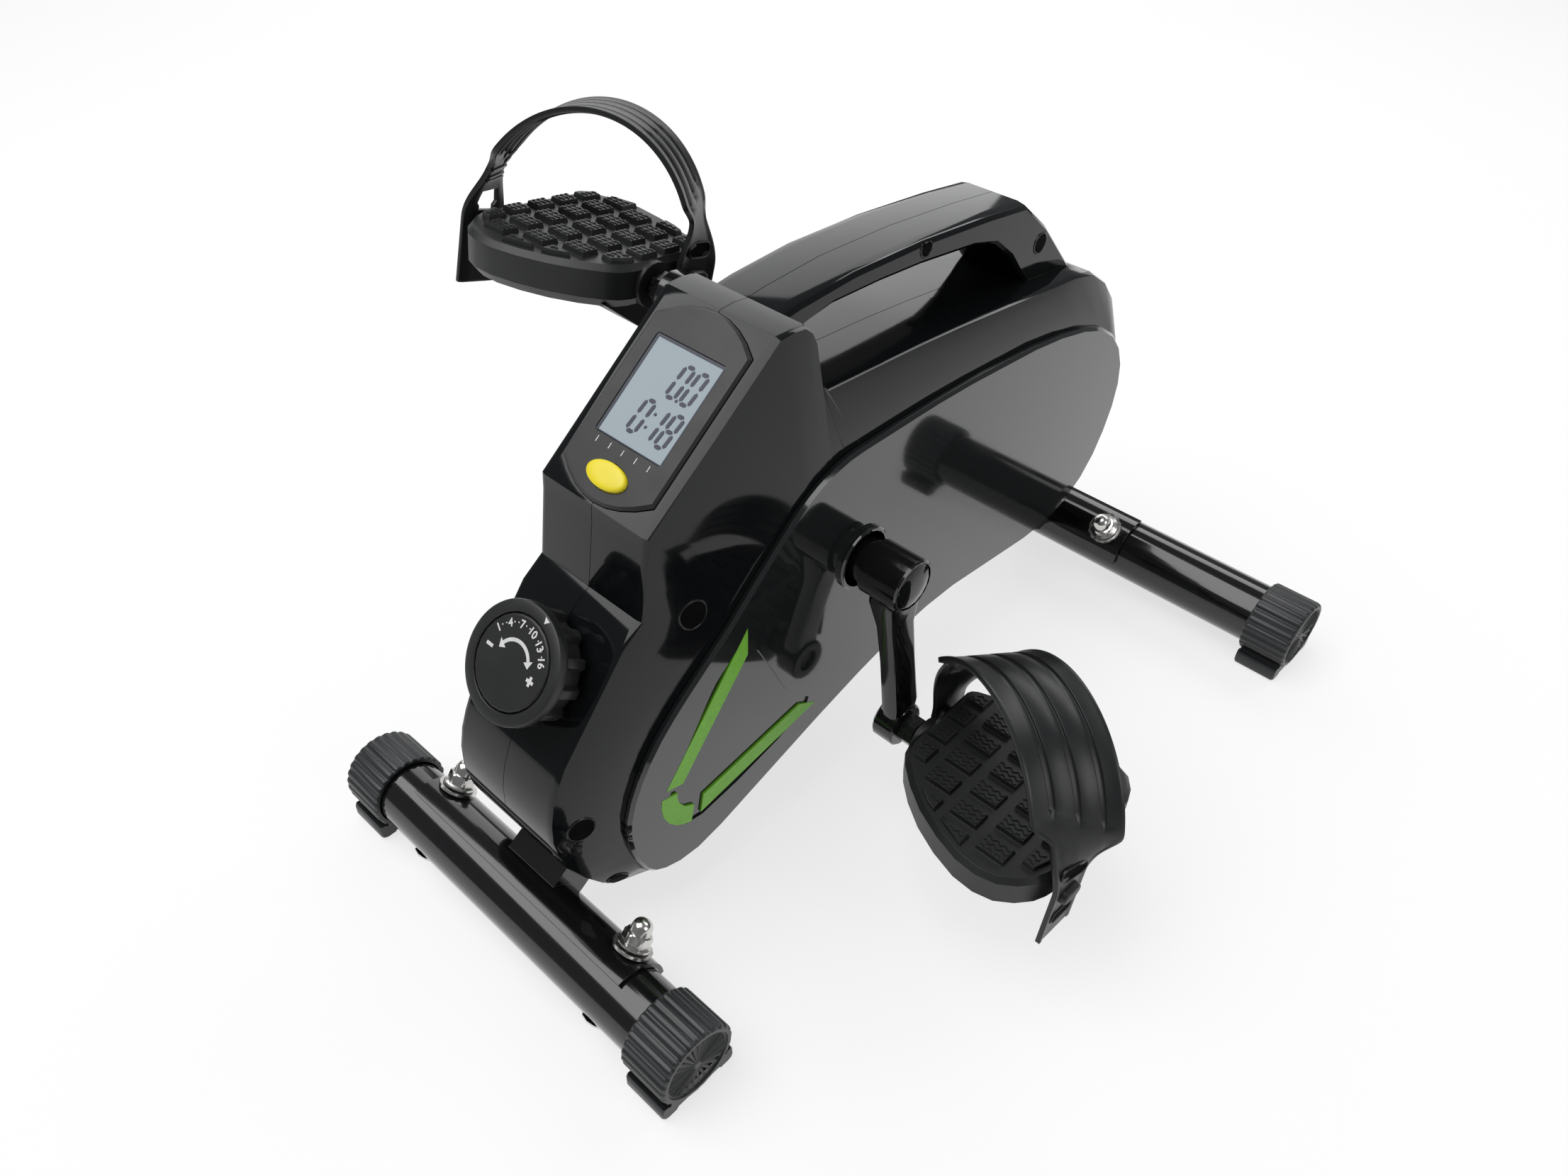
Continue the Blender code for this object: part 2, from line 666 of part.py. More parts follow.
combine(case, cutter("button_hole", button_shape(GAP, -LENS_T - 3, CONSOLE_RAISE + 2)))
lens = console_slab(LCD_START + GAP, LCD_END - GAP, LCD_HALF - GAP, -LENS_T + GAP, CONSOLE_RAISE - 0.4, 1.2)
node("console_lens", lens, LCD_GREY, "base")
board_top = -LENS_T - 1.2 - BUTTON_TRAVEL - 1.0
board = console_plate([(board_top - BOARD_T, -WALL - GAP), (board_top, -WALL - GAP)])
node("console_board", board, BOARD_GREEN, "base")
node("console_button", button_shape(0, board_top + BUTTON_TRAVEL + GAP, CONSOLE_RAISE + BUTTON_TRAVEL + 0.7),
     BUTTON_YELLOW, "button_body")


# Resistance dial: fixed scale on a shaft, lobed knob round it

scale = dial_turned([(-SHAFT_LENGTH, SHAFT_R), (-SCALE_T, SHAFT_R), (-SCALE_T, SCALE_R), (-0.8, SCALE_R),
                     (0, SCALE_R - 0.8)])
node("dial_scale", scale, PEDAL_BLACK, "base")


def lobes(x, radius, depth):
    count = KNOB_LOBES * 3
    return [(x, *polar(radius + (depth if i % 3 else 0), 360 * i / count)) for i in range(count)]


grip = loft([lobes(-KNOB_H, KNOB_R - 4, 0.6), lobes(-KNOB_H + 1.5, KNOB_R - 3, KNOB_LOBE_H),
             lobes(-7, KNOB_R - 2.6, KNOB_LOBE_H), lobes(-6, KNOB_R - 0.4, 0), lobes(-1.4, KNOB_R, 0),
             lobes(0, KNOB_R - 1.4, 0)])
knob = node("dial_knob", aimed(grip, (0, *DIAL), 90 - DIAL_LEAN), PEDAL_BLACK, "knob_body")
mouth = dial_turned([(-KNOB_H - 3, SHAFT_R + GAP), (-SCALE_T - GAP, SHAFT_R + GAP), (-SCALE_T - GAP, SCALE_R + GAP),
                     (4, SCALE_R + GAP)])
combine(knob, cutter("knob_mouth", mouth))


# Crank set: spindle, bearings, arms, nuts, dust caps, drive pulley

NUT_SEAT = BOSS_OUT - CAP_DEPTH - NUT_H - 1.5
spindle = lathe([(-NUT_SEAT - NUT_H - 0.8, THREAD_R), (-NUT_SEAT + GAP, THREAD_R), (-NUT_SEAT + GAP, SPINDLE_R),
                 (NUT_SEAT - GAP, SPINDLE_R), (NUT_SEAT - GAP, THREAD_R), (NUT_SEAT + NUT_H + 0.8, THREAD_R)], 16)
node("crank_spindle", moved(spindle, 0, *CRANK), STEEL, "crank")


def arm_section(distance, width, x0, x1):
    """Rounded box section across the arm, at a distance below the crank axis."""
    flat = rounded(x0, x1, -width / 2, width / 2, min(width, x1 - x0) * 0.3, 2)
    return [(a, b, -distance) for a, b in flat]


for side, word in ((1, "right"), (-1, "left")):
    turn = CRANK_LEAN if side > 0 else CRANK_LEAN + 180
    bearing = washer_ring(SHELL_HALF - BEARING_W, SHELL_HALF - GAP, SPINDLE_R + GAP, BEARING_R, 16)
    node("crank_bearing_" + word, mirrored(moved(bearing, 0, *CRANK), side), STEEL, "base")
    x_in = BOSS_OUT - 3 - ARM_THICK
    arm = loft([arm_section(-BOSS_R * 0.5, ARM_WIDTH * 1.25, x_in - 6, BOSS_OUT - 1.5),
                arm_section(BOSS_R * 0.9, ARM_WIDTH * 1.3, x_in - 5, BOSS_OUT - 1.5),
                arm_section(BOSS_R * 1.9, ARM_WIDTH * 1.02, x_in + 0.5, BOSS_OUT - 1.5),
                arm_section(CRANK_LENGTH * 0.55, ARM_WIDTH * 0.94, x_in + ARM_FLARE * 0.5, BOSS_OUT - 2 + ARM_FLARE * 0.5),
                arm_section(CRANK_LENGTH - EYE_R * 1.2, ARM_WIDTH, x_in + ARM_FLARE, BOSS_OUT - 2 + ARM_FLARE),
                arm_section(CRANK_LENGTH + EYE_R * 0.4, ARM_WIDTH * 0.9, x_in + ARM_FLARE, BOSS_OUT - 2 + ARM_FLARE)])
    bm = mirrored(moved(arm, 0, 0, 0), side)
    arm_node = node("crank_arm_" + word, moved(bm, 0, *CRANK, turn), TUBE_BLACK, "crank")
    cover_face = SIDE_HALF + GAP + COVER_T
    boss = lathe([(cover_face - 1.5, NECK_R), (BOSS_IN, NECK_R), (BOSS_IN + 1.5, BOSS_R), (BOSS_OUT - 1, BOSS_R),
                  (BOSS_OUT, BOSS_R - 1)], 20)
    combine(arm_node, cutter("boss_" + word, mirrored(moved(boss, 0, *CRANK), side)), "UNION")
    eye_out = BOSS_OUT - 2 + ARM_FLARE
    eye = lathe([(x_in + ARM_FLARE - 1, EYE_R - 1), (x_in + ARM_FLARE, EYE_R), (eye_out - 0.5, EYE_R),
                 (eye_out + 0.5, EYE_R - 1)], 16)
    axle = NEAR_AXLE if side > 0 else FAR_AXLE
    combine(arm_node, cutter("eye_" + word, mirrored(moved(eye, 0, *axle), side)), "UNION")
    bore = lathe([(cover_face - 6, SPINDLE_R + GAP), (NUT_SEAT, SPINDLE_R + GAP), (NUT_SEAT, NUT_R + 1),
                  (BOSS_OUT - CAP_DEPTH, NUT_R + 1), (BOSS_OUT - CAP_DEPTH, CAP_R + GAP), (BOSS_OUT + 5, CAP_R + GAP)], 18)
    combine(arm_node, cutter("boss_bore_" + word, mirrored(moved(bore, 0, *CRANK), side)))
    thread = cylinder(x_in, eye_out + 4, AXLE_THREAD_R + GAP, *axle, 12)
    combine(arm_node, cutter("eye_bore_" + word, mirrored(thread, side)))
    nut = washer_ring(NUT_SEAT + GAP, NUT_SEAT + NUT_H, (THREAD_R + GAP) / math.cos(math.pi / 6), NUT_R, 6)
    node("crank_nut_" + word, mirrored(moved(nut, 0, *CRANK), side), ZINC, "crank")
    face = BOSS_OUT - CAP_DEPTH + GAP
    cap = lathe([(face, CAP_R), (BOSS_OUT - 0.6, CAP_R), (BOSS_OUT + 0.4, CAP_R * 0.86), (BOSS_OUT + 0.9, CAP_R * 0.4),
                 (BOSS_OUT + 1.0, CAP_R * 0.1)], 14)
    node("dust_cap_" + word, mirrored(moved(cap, 0, *CRANK), side), SHELL_BLACK, "crank")

half_w = PULLEY_W / 2
pulley = lathe([(PULLEY_X - half_w, SPINDLE_R + GAP), (PULLEY_X + half_w, SPINDLE_R + GAP), (PULLEY_X + half_w, 20),
                (PULLEY_X + 2, 22), (PULLEY_X + 2, PULLEY_R - 7), (PULLEY_X + half_w, PULLEY_R),
                (PULLEY_X - half_w, PULLEY_R), (PULLEY_X - 2, PULLEY_R - 7), (PULLEY_X - 2, 22),
                (PULLEY_X - half_w, 20)], 18, ring=True)
node("drive_pulley", moved(pulley, 0, *CRANK), PEDAL_BLACK, "crank")


# Flywheel, its pulley and axle, the belt

axle = lathe([(FLY_X - FLY_W / 2 - 1, AXLE_R), (PULLEY_X + half_w + 4, AXLE_R)], 14)
node("flywheel_axle", moved(axle, 0, *FLY), STEEL, "base")
half_f = FLY_W / 2
disc = lathe([(FLY_X - half_f, AXLE_R + GAP), (FLY_X + half_f, AXLE_R + GAP), (FLY_X + half_f, 14), (FLY_X + 3, 16),
              (FLY_X + 3, FLY_R - 14), (FLY_X + half_f, FLY_R), (FLY_X - half_f, FLY_R), (FLY_X - 3, FLY_R - 14),
              (FLY_X - 3, 16), (FLY_X - half_f, 14)], 18, ring=True)
node("flywheel", moved(disc, 0, *FLY), STEEL, "flywheel_body")
small = washer_ring(PULLEY_X - half_w, PULLEY_X + half_w, AXLE_R + GAP, SMALL_R, 18)
node("flywheel_pulley", moved(small, 0, *FLY), STEEL, "flywheel_body")


def belt_outline(grow):
    """Open belt round both pulleys."""
    gap = Vector(FLY) - Vector(CRANK)
    big = PULLEY_R + GAP + grow
    little = SMALL_R + GAP + grow
    along = math.degrees(math.atan2(gap.y, gap.x))
    spread = math.degrees(math.acos((big - little) / gap.length))
    out = [polar(big, along + spread + (360 - 2 * spread) * i / 22, CRANK) for i in range(23)]
    out += [polar(little, along - spread + 2 * spread * i / 7, FLY) for i in range(8)]
    return out


belt = loft([[(x, y, z) for y, z in belt_outline(g)] for x, g in
             ((PULLEY_X - half_w + 1, 0), (PULLEY_X + half_w - 1, 0), (PULLEY_X + half_w - 1, BELT_T),
              (PULLEY_X - half_w + 1, BELT_T))], caps=False)
node("drive_belt", belt, RUBBER, "base")


# Magnetic brake: an arm on the frame's pin, its magnets, the cable from the dial

brake_in = FLY_R + MAGNET_GAP
start = math.degrees(math.atan2(PIVOT[1] - FLY[1], PIVOT[0] - FLY[0]))
sweep = [start - 3 + 38 * i / 6 for i in range(7)]
hook = [polar(brake_in + 4, a, FLY) for a in sweep] + [polar(brake_in + 11, a, FLY) for a in reversed(sweep)]
arm = node("brake_arm", prism(hook, FLY_X - half_f + 1, FLY_X + half_f - 1), STEEL, "brake_body")
ear = cylinder(FLY_X - half_f + 1, FLY_X + half_f - 1, PIN_R + 5, *PIVOT, 16)
combine(arm, cutter("brake_ear", ear), "UNION")
link = [PIVOT, polar(brake_in + 11, start + 6, FLY), polar(brake_in + 5, start + 12, FLY),
        polar(brake_in + 5, start, FLY)]
combine(arm, cutter("brake_link", prism(link, FLY_X - half_f + 1, FLY_X + half_f - 1)), "UNION")
combine(arm, cutter("brake_pin", cylinder(FLY_X - FLY_W, FLY_X + FLY_W, PIN_R + GAP, *PIVOT, 12)))
plate = [polar(brake_in, a, FLY) for a in sweep[2:]]
plate += [polar(brake_in + 4 - GAP, a, FLY) for a in reversed(sweep[2:])]
node("brake_magnet", prism(plate, FLY_X - half_f + 2, FLY_X + half_f - 2), MAGNET_GREY, "brake_body")


def curve_tube(name, points, radius, mat, body):
    """A round cord along points, with closed ends."""
    data = bpy.data.curves.new(name, "CURVE")
    data.dimensions = "3D"
    data.bevel_depth = radius * MM
    data.bevel_resolution = 1
    data.use_fill_caps = True
    spline = data.splines.new("POLY")
    spline.points.add(len(points) - 1)
    home = groups[body].matrix_world.translation
    for slot, place in zip(spline.points, points):
        slot.co = (*(Vector(place) * MM - home), 1.0)
    obj = bpy.data.objects.new(name, data)
    bpy.context.scene.collection.objects.link(obj)
    obj.parent = groups[body]
    data.materials.append(mat)
    return obj


t = math.radians(DIAL_LEAN)
outlet = [(DIAL[0] + d * math.cos(t), DIAL[1] - d * math.sin(t)) for d in (SHAFT_LENGTH + GAP, SHAFT_LENGTH + 12)]
anchor = polar(PIN_R + 5 + GAP, 155, PIVOT)
ROUTE = [(0, *outlet[0]), (0, *outlet[1]), (-5, *at(72, 121)), (-9, *at(98, 136)), (-13, *at(130, 162)),
         (-18, *at(170, 182)),
         (-24, *at(208, 189)), (FLY_X, *at(238, 187)), (FLY_X, *anchor)]
curve_tube("tension_cable", ROUTE, CABLE_R, RUBBER, "base")


# Speed pick-up: a sensor on the frame's web, its magnet on the drive pulley

PICKUP_R = 46.0
pickup = polar(PICKUP_R, 26, CRANK)
probe = cylinder(WEB_HALF + GAP, PULLEY_X - half_w - 2, SENSOR_R + 1.5, *pickup, 12)
node("speed_sensor", probe, PEDAL_BLACK, "base")
spot = polar(PICKUP_R, 206, CRANK)
node("sensor_magnet", cylinder(PULLEY_X - half_w, PULLEY_X - 2 - GAP, SENSOR_R, *spot, 10), MAGNET_GREY, "crank")


# Pedals: axle in the crank's eye, treaded body with a keel, strap over the foot

FOOTPRINT = smooth([(0, -14, 0), (7, -27, 0), (30, -44, 0), (PEDAL_W - 40, -55, 0), (PEDAL_W - 18, -53, 0),
                    (PEDAL_W - 4, -40, 0), (PEDAL_W, -28, 1), (PEDAL_W, 30, 1), (PEDAL_W - 8, 43, 0),
                    (PEDAL_W - 36, 50, 0), (27, 45, 0), (4, 38, 0), (0, 34, 1), (0, 8, 1)], 2)
EYE_OUT = BOSS_OUT - 2 + ARM_FLARE


def flat_ring(outline, z):
    return [(PEDAL_IN + u, v, z) for u, v in outline]


def tread():
    """Oblong blocks on the pedal's top in staggered columns, inside its edge."""
    keep = inset(FOOTPRINT, 4)
    bm = bmesh.new()
    for column in range(-3, 4):
        for row in range(-5, 6):
            u = PEDAL_W / 2 + column * TREAD_PITCH
            v = (row + column % 2 / 2) * TREAD_STEP
            a = (TREAD_PITCH - TREAD_GAP) / 2
            b = (TREAD_STEP - TREAD_GAP) / 2
            corners = [(u - a, v - b), (u + a, v - b), (u + a, v + b), (u - a, v + b)]
            if all(inside(c, keep) for c in corners):
                block = loft([flat_ring(corners, PEDAL_TOP - 2), flat_ring(inset(corners, 1.2), PEDAL_TOP + TREAD_H)])
                mesh = bpy.data.meshes.new("block")
                block.to_mesh(mesh)
                block.free()
                bm.from_mesh(mesh)
                bpy.data.meshes.remove(mesh)
    return bm


def inside(point, outline):
    u, v = point
    odd = False
    for (u0, v0), (u1, v1) in zip(outline, outline[1:] + outline[:1]):
        if (v0 > v) != (v1 > v) and u < u0 + (v - v0) / (v1 - v0) * (u1 - u0):
            odd = not odd
    return odd


def strap():
    """Moulded band arched askew over the pedal, narrow at both ends."""
    low = PEDAL_IN - STRAP_STAND - STRAP_T / 2
    high = PEDAL_IN + PEDAL_W + STRAP_STAND + STRAP_T / 2
    rise = Vector((0, math.sin(math.radians(STRAP_LEAN)), math.cos(math.radians(STRAP_LEAN))))
    first = Vector((low, STRAP_INNER, 0))
    last = Vector((high, STRAP_OUTER, 0))
    spans = [(0.0, -STRAP_TAIL, 0.0), (0.0, 6.0, 0.0)]
    for i in range(1, 16):
        a = math.pi * (1 - i / 16)
        spans.append(((1 + math.cos(a)) / 2, 6 + (STRAP_RISE - 6) * math.sin(a), math.sin(a)))
    spans += [(1.0, 6.0, 0.0), (1.0, -STRAP_TAIL, 0.0)]
    path = [first.lerp(last, f) + rise * h for f, h, _ in spans]
    flat_on = rise.cross(Vector((1, 0, 0)))
    askew = rise.cross(last - first).normalized()
    rings = []
    for i, (_, _, open_up) in enumerate(spans):
        run = (path[min(i + 1, len(path) - 1)] - path[max(i - 1, 0)]).normalized()
        across = flat_on.lerp(askew, open_up).normalized()
        normal = across.cross(run).normalized() * STRAP_T / 2
        w = across * (STRAP_END_W + (STRAP_W - STRAP_END_W) * min(1, open_up * 1.3)) / 2
        rings.append([tuple(path[i] + normal * a + w * b) for a, b in ((1, -1), (1, 1), (-1, 1), (-1, -1))])
    return loft(rings)


for side, word in ((1, "right"), (-1, "left")):
    body = "pedal_" + word
    place = NEAR_AXLE if side > 0 else FAR_AXLE
    flats = FLAT_ACROSS / math.sqrt(3)
    screw = lathe([(EYE_OUT - ARM_THICK, AXLE_THREAD_R), (EYE_OUT + 0.5 + GAP, AXLE_THREAD_R)], 14)
    pin = node("pedal_axle_" + word, mirrored(moved(screw, 0, *place), side), ZINC, "crank")
    hexagon = cylinder(EYE_OUT + 0.5 + GAP / 2, EYE_OUT + FLAT_LENGTH, flats, *place, 6)
    combine(pin, cutter("axle_flats_" + word, mirrored(hexagon, side)), "UNION")
    rod = cylinder(EYE_OUT + FLAT_LENGTH - 2, PEDAL_IN + AXLE_END, PEDAL_AXLE_R, *place, 14)
    combine(pin, cutter("axle_rod_" + word, mirrored(rod, side)), "UNION")
    slab = loft([flat_ring(inset(FOOTPRINT, 4), PEDAL_BOTTOM), flat_ring(FOOTPRINT, PEDAL_BOTTOM + 5),
                 flat_ring(FOOTPRINT, PEDAL_TOP - 3), flat_ring(inset(FOOTPRINT, 2.5), PEDAL_TOP)])
    foot = node("pedal_body_" + word, mirrored(slab, side), PEDAL_BLACK, body, local=True)
    keel = prism([(-26, PEDAL_BOTTOM + 2), (26, PEDAL_BOTTOM + 2), (14, PEDAL_BOTTOM - KEEL_DROP),
                  (2, PEDAL_BOTTOM - KEEL_DROP)], PEDAL_IN + 7, PEDAL_IN + PEDAL_W - 12)
    combine(foot, cutter("keel_" + word, mirrored(keel, side), body), "UNION")
    ring = cylinder(PEDAL_IN - 2.5, PEDAL_IN + 16, PEDAL_AXLE_R + 6, 0, 0, 20)
    combine(foot, cutter("pedal_boss_" + word, mirrored(ring, side), body), "UNION")
    combine(foot, cutter("tread_" + word, mirrored(tread(), side), body), "UNION")
    for end, x0, x1, v in (("in", PEDAL_IN - STRAP_STAND - STRAP_T - 1.4, PEDAL_IN + 4, STRAP_INNER),
                           ("out", PEDAL_IN + PEDAL_W - 8, PEDAL_IN + PEDAL_W + STRAP_STAND + STRAP_T + 1.4, STRAP_OUTER)):
        peg = cylinder(x0, x1, PEG_R, v, 0, 10)
        combine(foot, cutter("peg_" + end + "_" + word, mirrored(peg, side), body), "UNION")
    bore = cylinder(PEDAL_IN - 10, PEDAL_IN + AXLE_END + GAP, PEDAL_AXLE_R + GAP, 0, 0, 16)
    combine(foot, cutter("pedal_bore_" + word, mirrored(bore, side), body))
    band = node("pedal_strap_" + word, mirrored(strap(), side), STRAP_BLACK, body, local=True)
    for end, x, v in (("in", PEDAL_IN, STRAP_INNER), ("out", PEDAL_IN + PEDAL_W, STRAP_OUTER)):
        eyelet = cylinder(x - 9, x + 9, PEG_R + 0.4, v, 0, 12)
        combine(band, cutter("eyelet_" + end + "_" + word, mirrored(eyelet, side), body))
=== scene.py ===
"""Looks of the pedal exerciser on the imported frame: camera, light, materials and surface detail.

Lengths in the helpers are millimetres in the part's frame unless a name says otherwise.
"""
import json
import math

import bmesh
import bpy
from mathutils import Euler, Matrix, Vector
from mathutils.bvhtree import BVHTree


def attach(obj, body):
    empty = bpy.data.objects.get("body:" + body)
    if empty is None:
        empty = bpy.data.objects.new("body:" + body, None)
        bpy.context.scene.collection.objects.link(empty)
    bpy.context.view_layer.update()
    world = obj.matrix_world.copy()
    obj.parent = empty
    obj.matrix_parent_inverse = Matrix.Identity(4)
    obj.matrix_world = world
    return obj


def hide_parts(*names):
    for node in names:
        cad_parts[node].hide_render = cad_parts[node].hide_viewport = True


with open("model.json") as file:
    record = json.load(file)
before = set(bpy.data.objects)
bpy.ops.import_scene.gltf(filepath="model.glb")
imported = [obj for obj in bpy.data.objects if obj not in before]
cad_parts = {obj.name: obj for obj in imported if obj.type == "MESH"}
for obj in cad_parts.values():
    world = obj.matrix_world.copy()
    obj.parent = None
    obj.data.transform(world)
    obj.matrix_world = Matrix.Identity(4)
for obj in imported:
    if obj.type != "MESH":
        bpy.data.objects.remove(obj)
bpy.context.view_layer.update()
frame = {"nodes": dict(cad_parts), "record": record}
nodes = frame["nodes"]
scene = bpy.context.scene
scene.view_settings.view_transform = "Standard"

MM = 0.001
BAR_SPACING = 453.0
BAR_Z = 24.5
FRONT_Y = -BAR_SPACING / 2
REAR_Y = BAR_SPACING / 2
# Height of a printed mark over its surface, and how far the strokes of a figure are fattened
LIFT = 0.12
BOLD = 0.11
FIGURE_HALF_DEPTH = 0.05


def side_view(y, z):
    """Side-view point measured from the front bar's axis, in the part's frame."""
    return (y - BAR_SPACING / 2, z + BAR_Z)


CRANK = side_view(198.5, 134.5)
CRANK_LENGTH = 90.0
CRANK_LEAN = math.radians(-3.0)
DIAL = side_view(21.4, 157.0)
DIAL_LEAN = math.radians(41.0)
CONSOLE = side_view(74.0, 212.0)
CONSOLE_SLOPE = math.radians(36.6)
NEAR_AXLE = (CRANK[0] + CRANK_LENGTH * math.sin(CRANK_LEAN), CRANK[1] - CRANK_LENGTH * math.cos(CRANK_LEAN))
FAR_AXLE = (2 * CRANK[0] - NEAR_AXLE[0], 2 * CRANK[1] - NEAR_AXLE[1])
SIDES = ((1, "right"), (-1, "left"))

# Camera at the photograph's viewing angle

camera_data = bpy.data.cameras.new("camera")
camera_data.sensor_width = 36.0
camera_data.lens = 27.565
camera_data.shift_x = 0.0266
camera_data.shift_y = 0.0422
camera_data.clip_start = 0.01
camera = bpy.data.objects.new("camera", camera_data)
camera.location = (0.32611, -0.38864, 0.54665)
camera.rotation_euler = Euler((math.radians(44.844), math.radians(0.7776), math.radians(44.4945)))
scene.collection.objects.link(camera)
scene.camera = camera


# Materials

COAT_ROUGH = 0.03
NOISE_SPAN = (0.35, 0.65)
TINT_STOPS = (0.35, 0.68)
HAZE = 0.04
METAL_GRAIN = 400.0


def shader(name, colour, rough, metallic=0.0, coat=0.0, specular=0.5):
    """Material of one principled shader, with its tree and that shader."""
    material = bpy.data.materials.new(name)
    material.use_nodes = True
    tree = material.node_tree
    bsdf = tree.nodes["Principled BSDF"]
    bsdf.inputs["Base Color"].default_value = (*colour, 1)
    bsdf.inputs["Roughness"].default_value = rough
    bsdf.inputs["Metallic"].default_value = metallic
    bsdf.inputs["Coat Weight"].default_value = coat
    bsdf.inputs["Coat Roughness"].default_value = COAT_ROUGH
    bsdf.inputs["Specular IOR Level"].default_value = specular
    return material, tree, bsdf


def noise(tree, scale, detail):
    """Noise on the piece's own coordinates."""
    place = tree.nodes.new("ShaderNodeTexCoord")
    texture = tree.nodes.new("ShaderNodeTexNoise")
    texture.inputs["Scale"].default_value = scale
    texture.inputs["Detail"].default_value = detail
    tree.links.new(place.outputs["Object"], texture.inputs["Vector"])
    return texture.outputs["Fac"]


def spread(tree, value, low, high):
    """Maps the noise onto low to high."""
    ranged = tree.nodes.new("ShaderNodeMapRange")
    ranged.inputs["From Min"].default_value = NOISE_SPAN[0]
    ranged.inputs["From Max"].default_value = NOISE_SPAN[1]
    ranged.inputs["To Min"].default_value = low
    ranged.inputs["To Max"].default_value = high
    tree.links.new(value, ranged.inputs["Value"])
    return ranged.outputs["Result"]


def tint(tree, bsdf, value, dark, light):
    """Base colour that varies between two tones."""
    ramp = tree.nodes.new("ShaderNodeValToRGB")
    for element, stop, colour in zip(ramp.color_ramp.elements, TINT_STOPS, (dark, light)):
        element.position = stop
        element.color = (*colour, 1)
    tree.links.new(value, ramp.inputs["Fac"])
    tree.links.new(ramp.outputs["Color"], bsdf.inputs["Base Color"])


def bump(tree, bsdf, value, strength, depth):
    """Relief of a depth in millimetres."""
    node = tree.nodes.new("ShaderNodeBump")
    node.inputs["Strength"].default_value = strength
    node.inputs["Distance"].default_value = depth * MM
    tree.links.new(value, node.inputs["Height"])
    tree.links.new(node.outputs["Normal"], bsdf.inputs["Normal"])


def gloss_plastic(name, colour, rough, coat, peel, specular=0.5):
    """Polished moulding with a faint flow ripple and a little handling haze."""
    material, tree, bsdf = shader(name, colour, rough, coat=coat, specular=specular)
    tree.links.new(spread(tree, noise(tree, 22, 4), rough, rough + HAZE), bsdf.inputs["Roughness"])
    bump(tree, bsdf, noise(tree, 70, 2), peel, 0.3)
    return material


def grained_plastic(name, colour, rough, grain=900.0, depth=0.10, strength=0.35, specular=0.5):
    """Moulded plastic with an eroded grain."""
    material, tree, bsdf = shader(name, colour, rough, specular=specular)
    light = tuple(min(1, c * 1.12 + 0.0005) for c in colour)
    tint(tree, bsdf, noise(tree, 45, 4), colour, light)
    tree.links.new(spread(tree, noise(tree, 60, 4), rough - 0.02, rough + 0.04), bsdf.inputs["Roughness"])
    bump(tree, bsdf, noise(tree, grain, 2), strength, depth)
    return material


def metal(name, colour, rough):
    """Metal with a slightly uneven sheen."""
    material, tree, bsdf = shader(name, colour, rough, metallic=1.0)
    sheen = spread(tree, noise(tree, METAL_GRAIN, 3), rough - 0.04, rough + 0.06)
    tree.links.new(sheen, bsdf.inputs["Roughness"])
    bump(tree, bsdf, noise(tree, METAL_GRAIN * 2, 2), 0.02, 0.1)
    return material


def print_ink(name, colour, rough):
    """Printed colour with a faint mottle."""
    material, tree, bsdf = shader(name, colour, rough)
    dark = tuple(c * 0.88 for c in colour)
    tint(tree, bsdf, noise(tree, 300, 3), dark, colour)
    return material


MATERIALS = {
    "shell_black": gloss_plastic("shell_black", (0.0045, 0.005, 0.0055), 0.05, 0.0, peel=0.012, specular=0.3),
    "cover_grey": gloss_plastic("cover_grey", (0.011, 0.0118, 0.0122), 0.05, 0.5, peel=0.006),
    "tube_black": gloss_plastic("tube_black", (0.005, 0.005, 0.0055), 0.10, 0.3, peel=0.05),
    "cap_black": grained_plastic("cap_black", (0.012, 0.013, 0.0145), 0.38, 700, 0.06, 0.2),
    "pedal_black": grained_plastic("pedal_black", (0.0085, 0.009, 0.0095), 0.44, 1100, 0.1, 0.3, 0.45),
    "strap_black": grained_plastic("strap_black", (0.0085, 0.009, 0.0095), 0.36, 500, 0.04, 0.15, 0.4),
    "zinc": metal("zinc", (0.66, 0.65, 0.63), 0.2),
    "steel": metal("steel", (0.45, 0.45, 0.45), 0.3),
    "bezel_grey": grained_plastic("bezel_grey", (0.015, 0.015, 0.0152), 0.38, 1400, 0.05, 0.25, 0.36),
    "lcd_grey": gloss_plastic("lcd_grey", (0.19, 0.245, 0.28), 0.10, 0.0, peel=0.0),
    "button_yellow": grained_plastic("button_yellow", (0.70, 0.58, 0.012), 0.36, 900, 0.03, 0.15),
    "board_green": grained_plastic("board_green", (0.02, 0.12, 0.05), 0.4),
    "belt_rubber": grained_plastic("belt_rubber", (0.012, 0.012, 0.012), 0.7),
    "magnet_grey": metal("magnet_grey", (0.12, 0.12, 0.12), 0.45),
}
AXLE_BLACK = metal("axle_black", (0.05, 0.05, 0.052), 0.26)
# Near-black plastic that hardly reflects, laid in screw holes and strap slots as painted shade
PAINTED_SHADE_BLACK = grained_plastic("painted_shade_plate", (0.0012, 0.0012, 0.0014), 0.7, 900, 0.03, 0.1, 0.04)
INK_GREEN = print_ink("ink_green", (0.15, 0.45, 0.014), 0.42)
INK_WHITE = print_ink("ink_white", (0.68, 0.68, 0.67), 0.5)
# Blue-black of the display's segments, also used for the painted shadow along the window's edge
LCD_INK_AND_SHADOW = print_ink("lcd_ink_and_painted_shadow", (0.003, 0.006, 0.028), 0.4)

SLOTS = {row["node"]: row["material_slot"] for row in frame["record"]["subparts"]}


# CAD nodes: fine edges and smooth shading

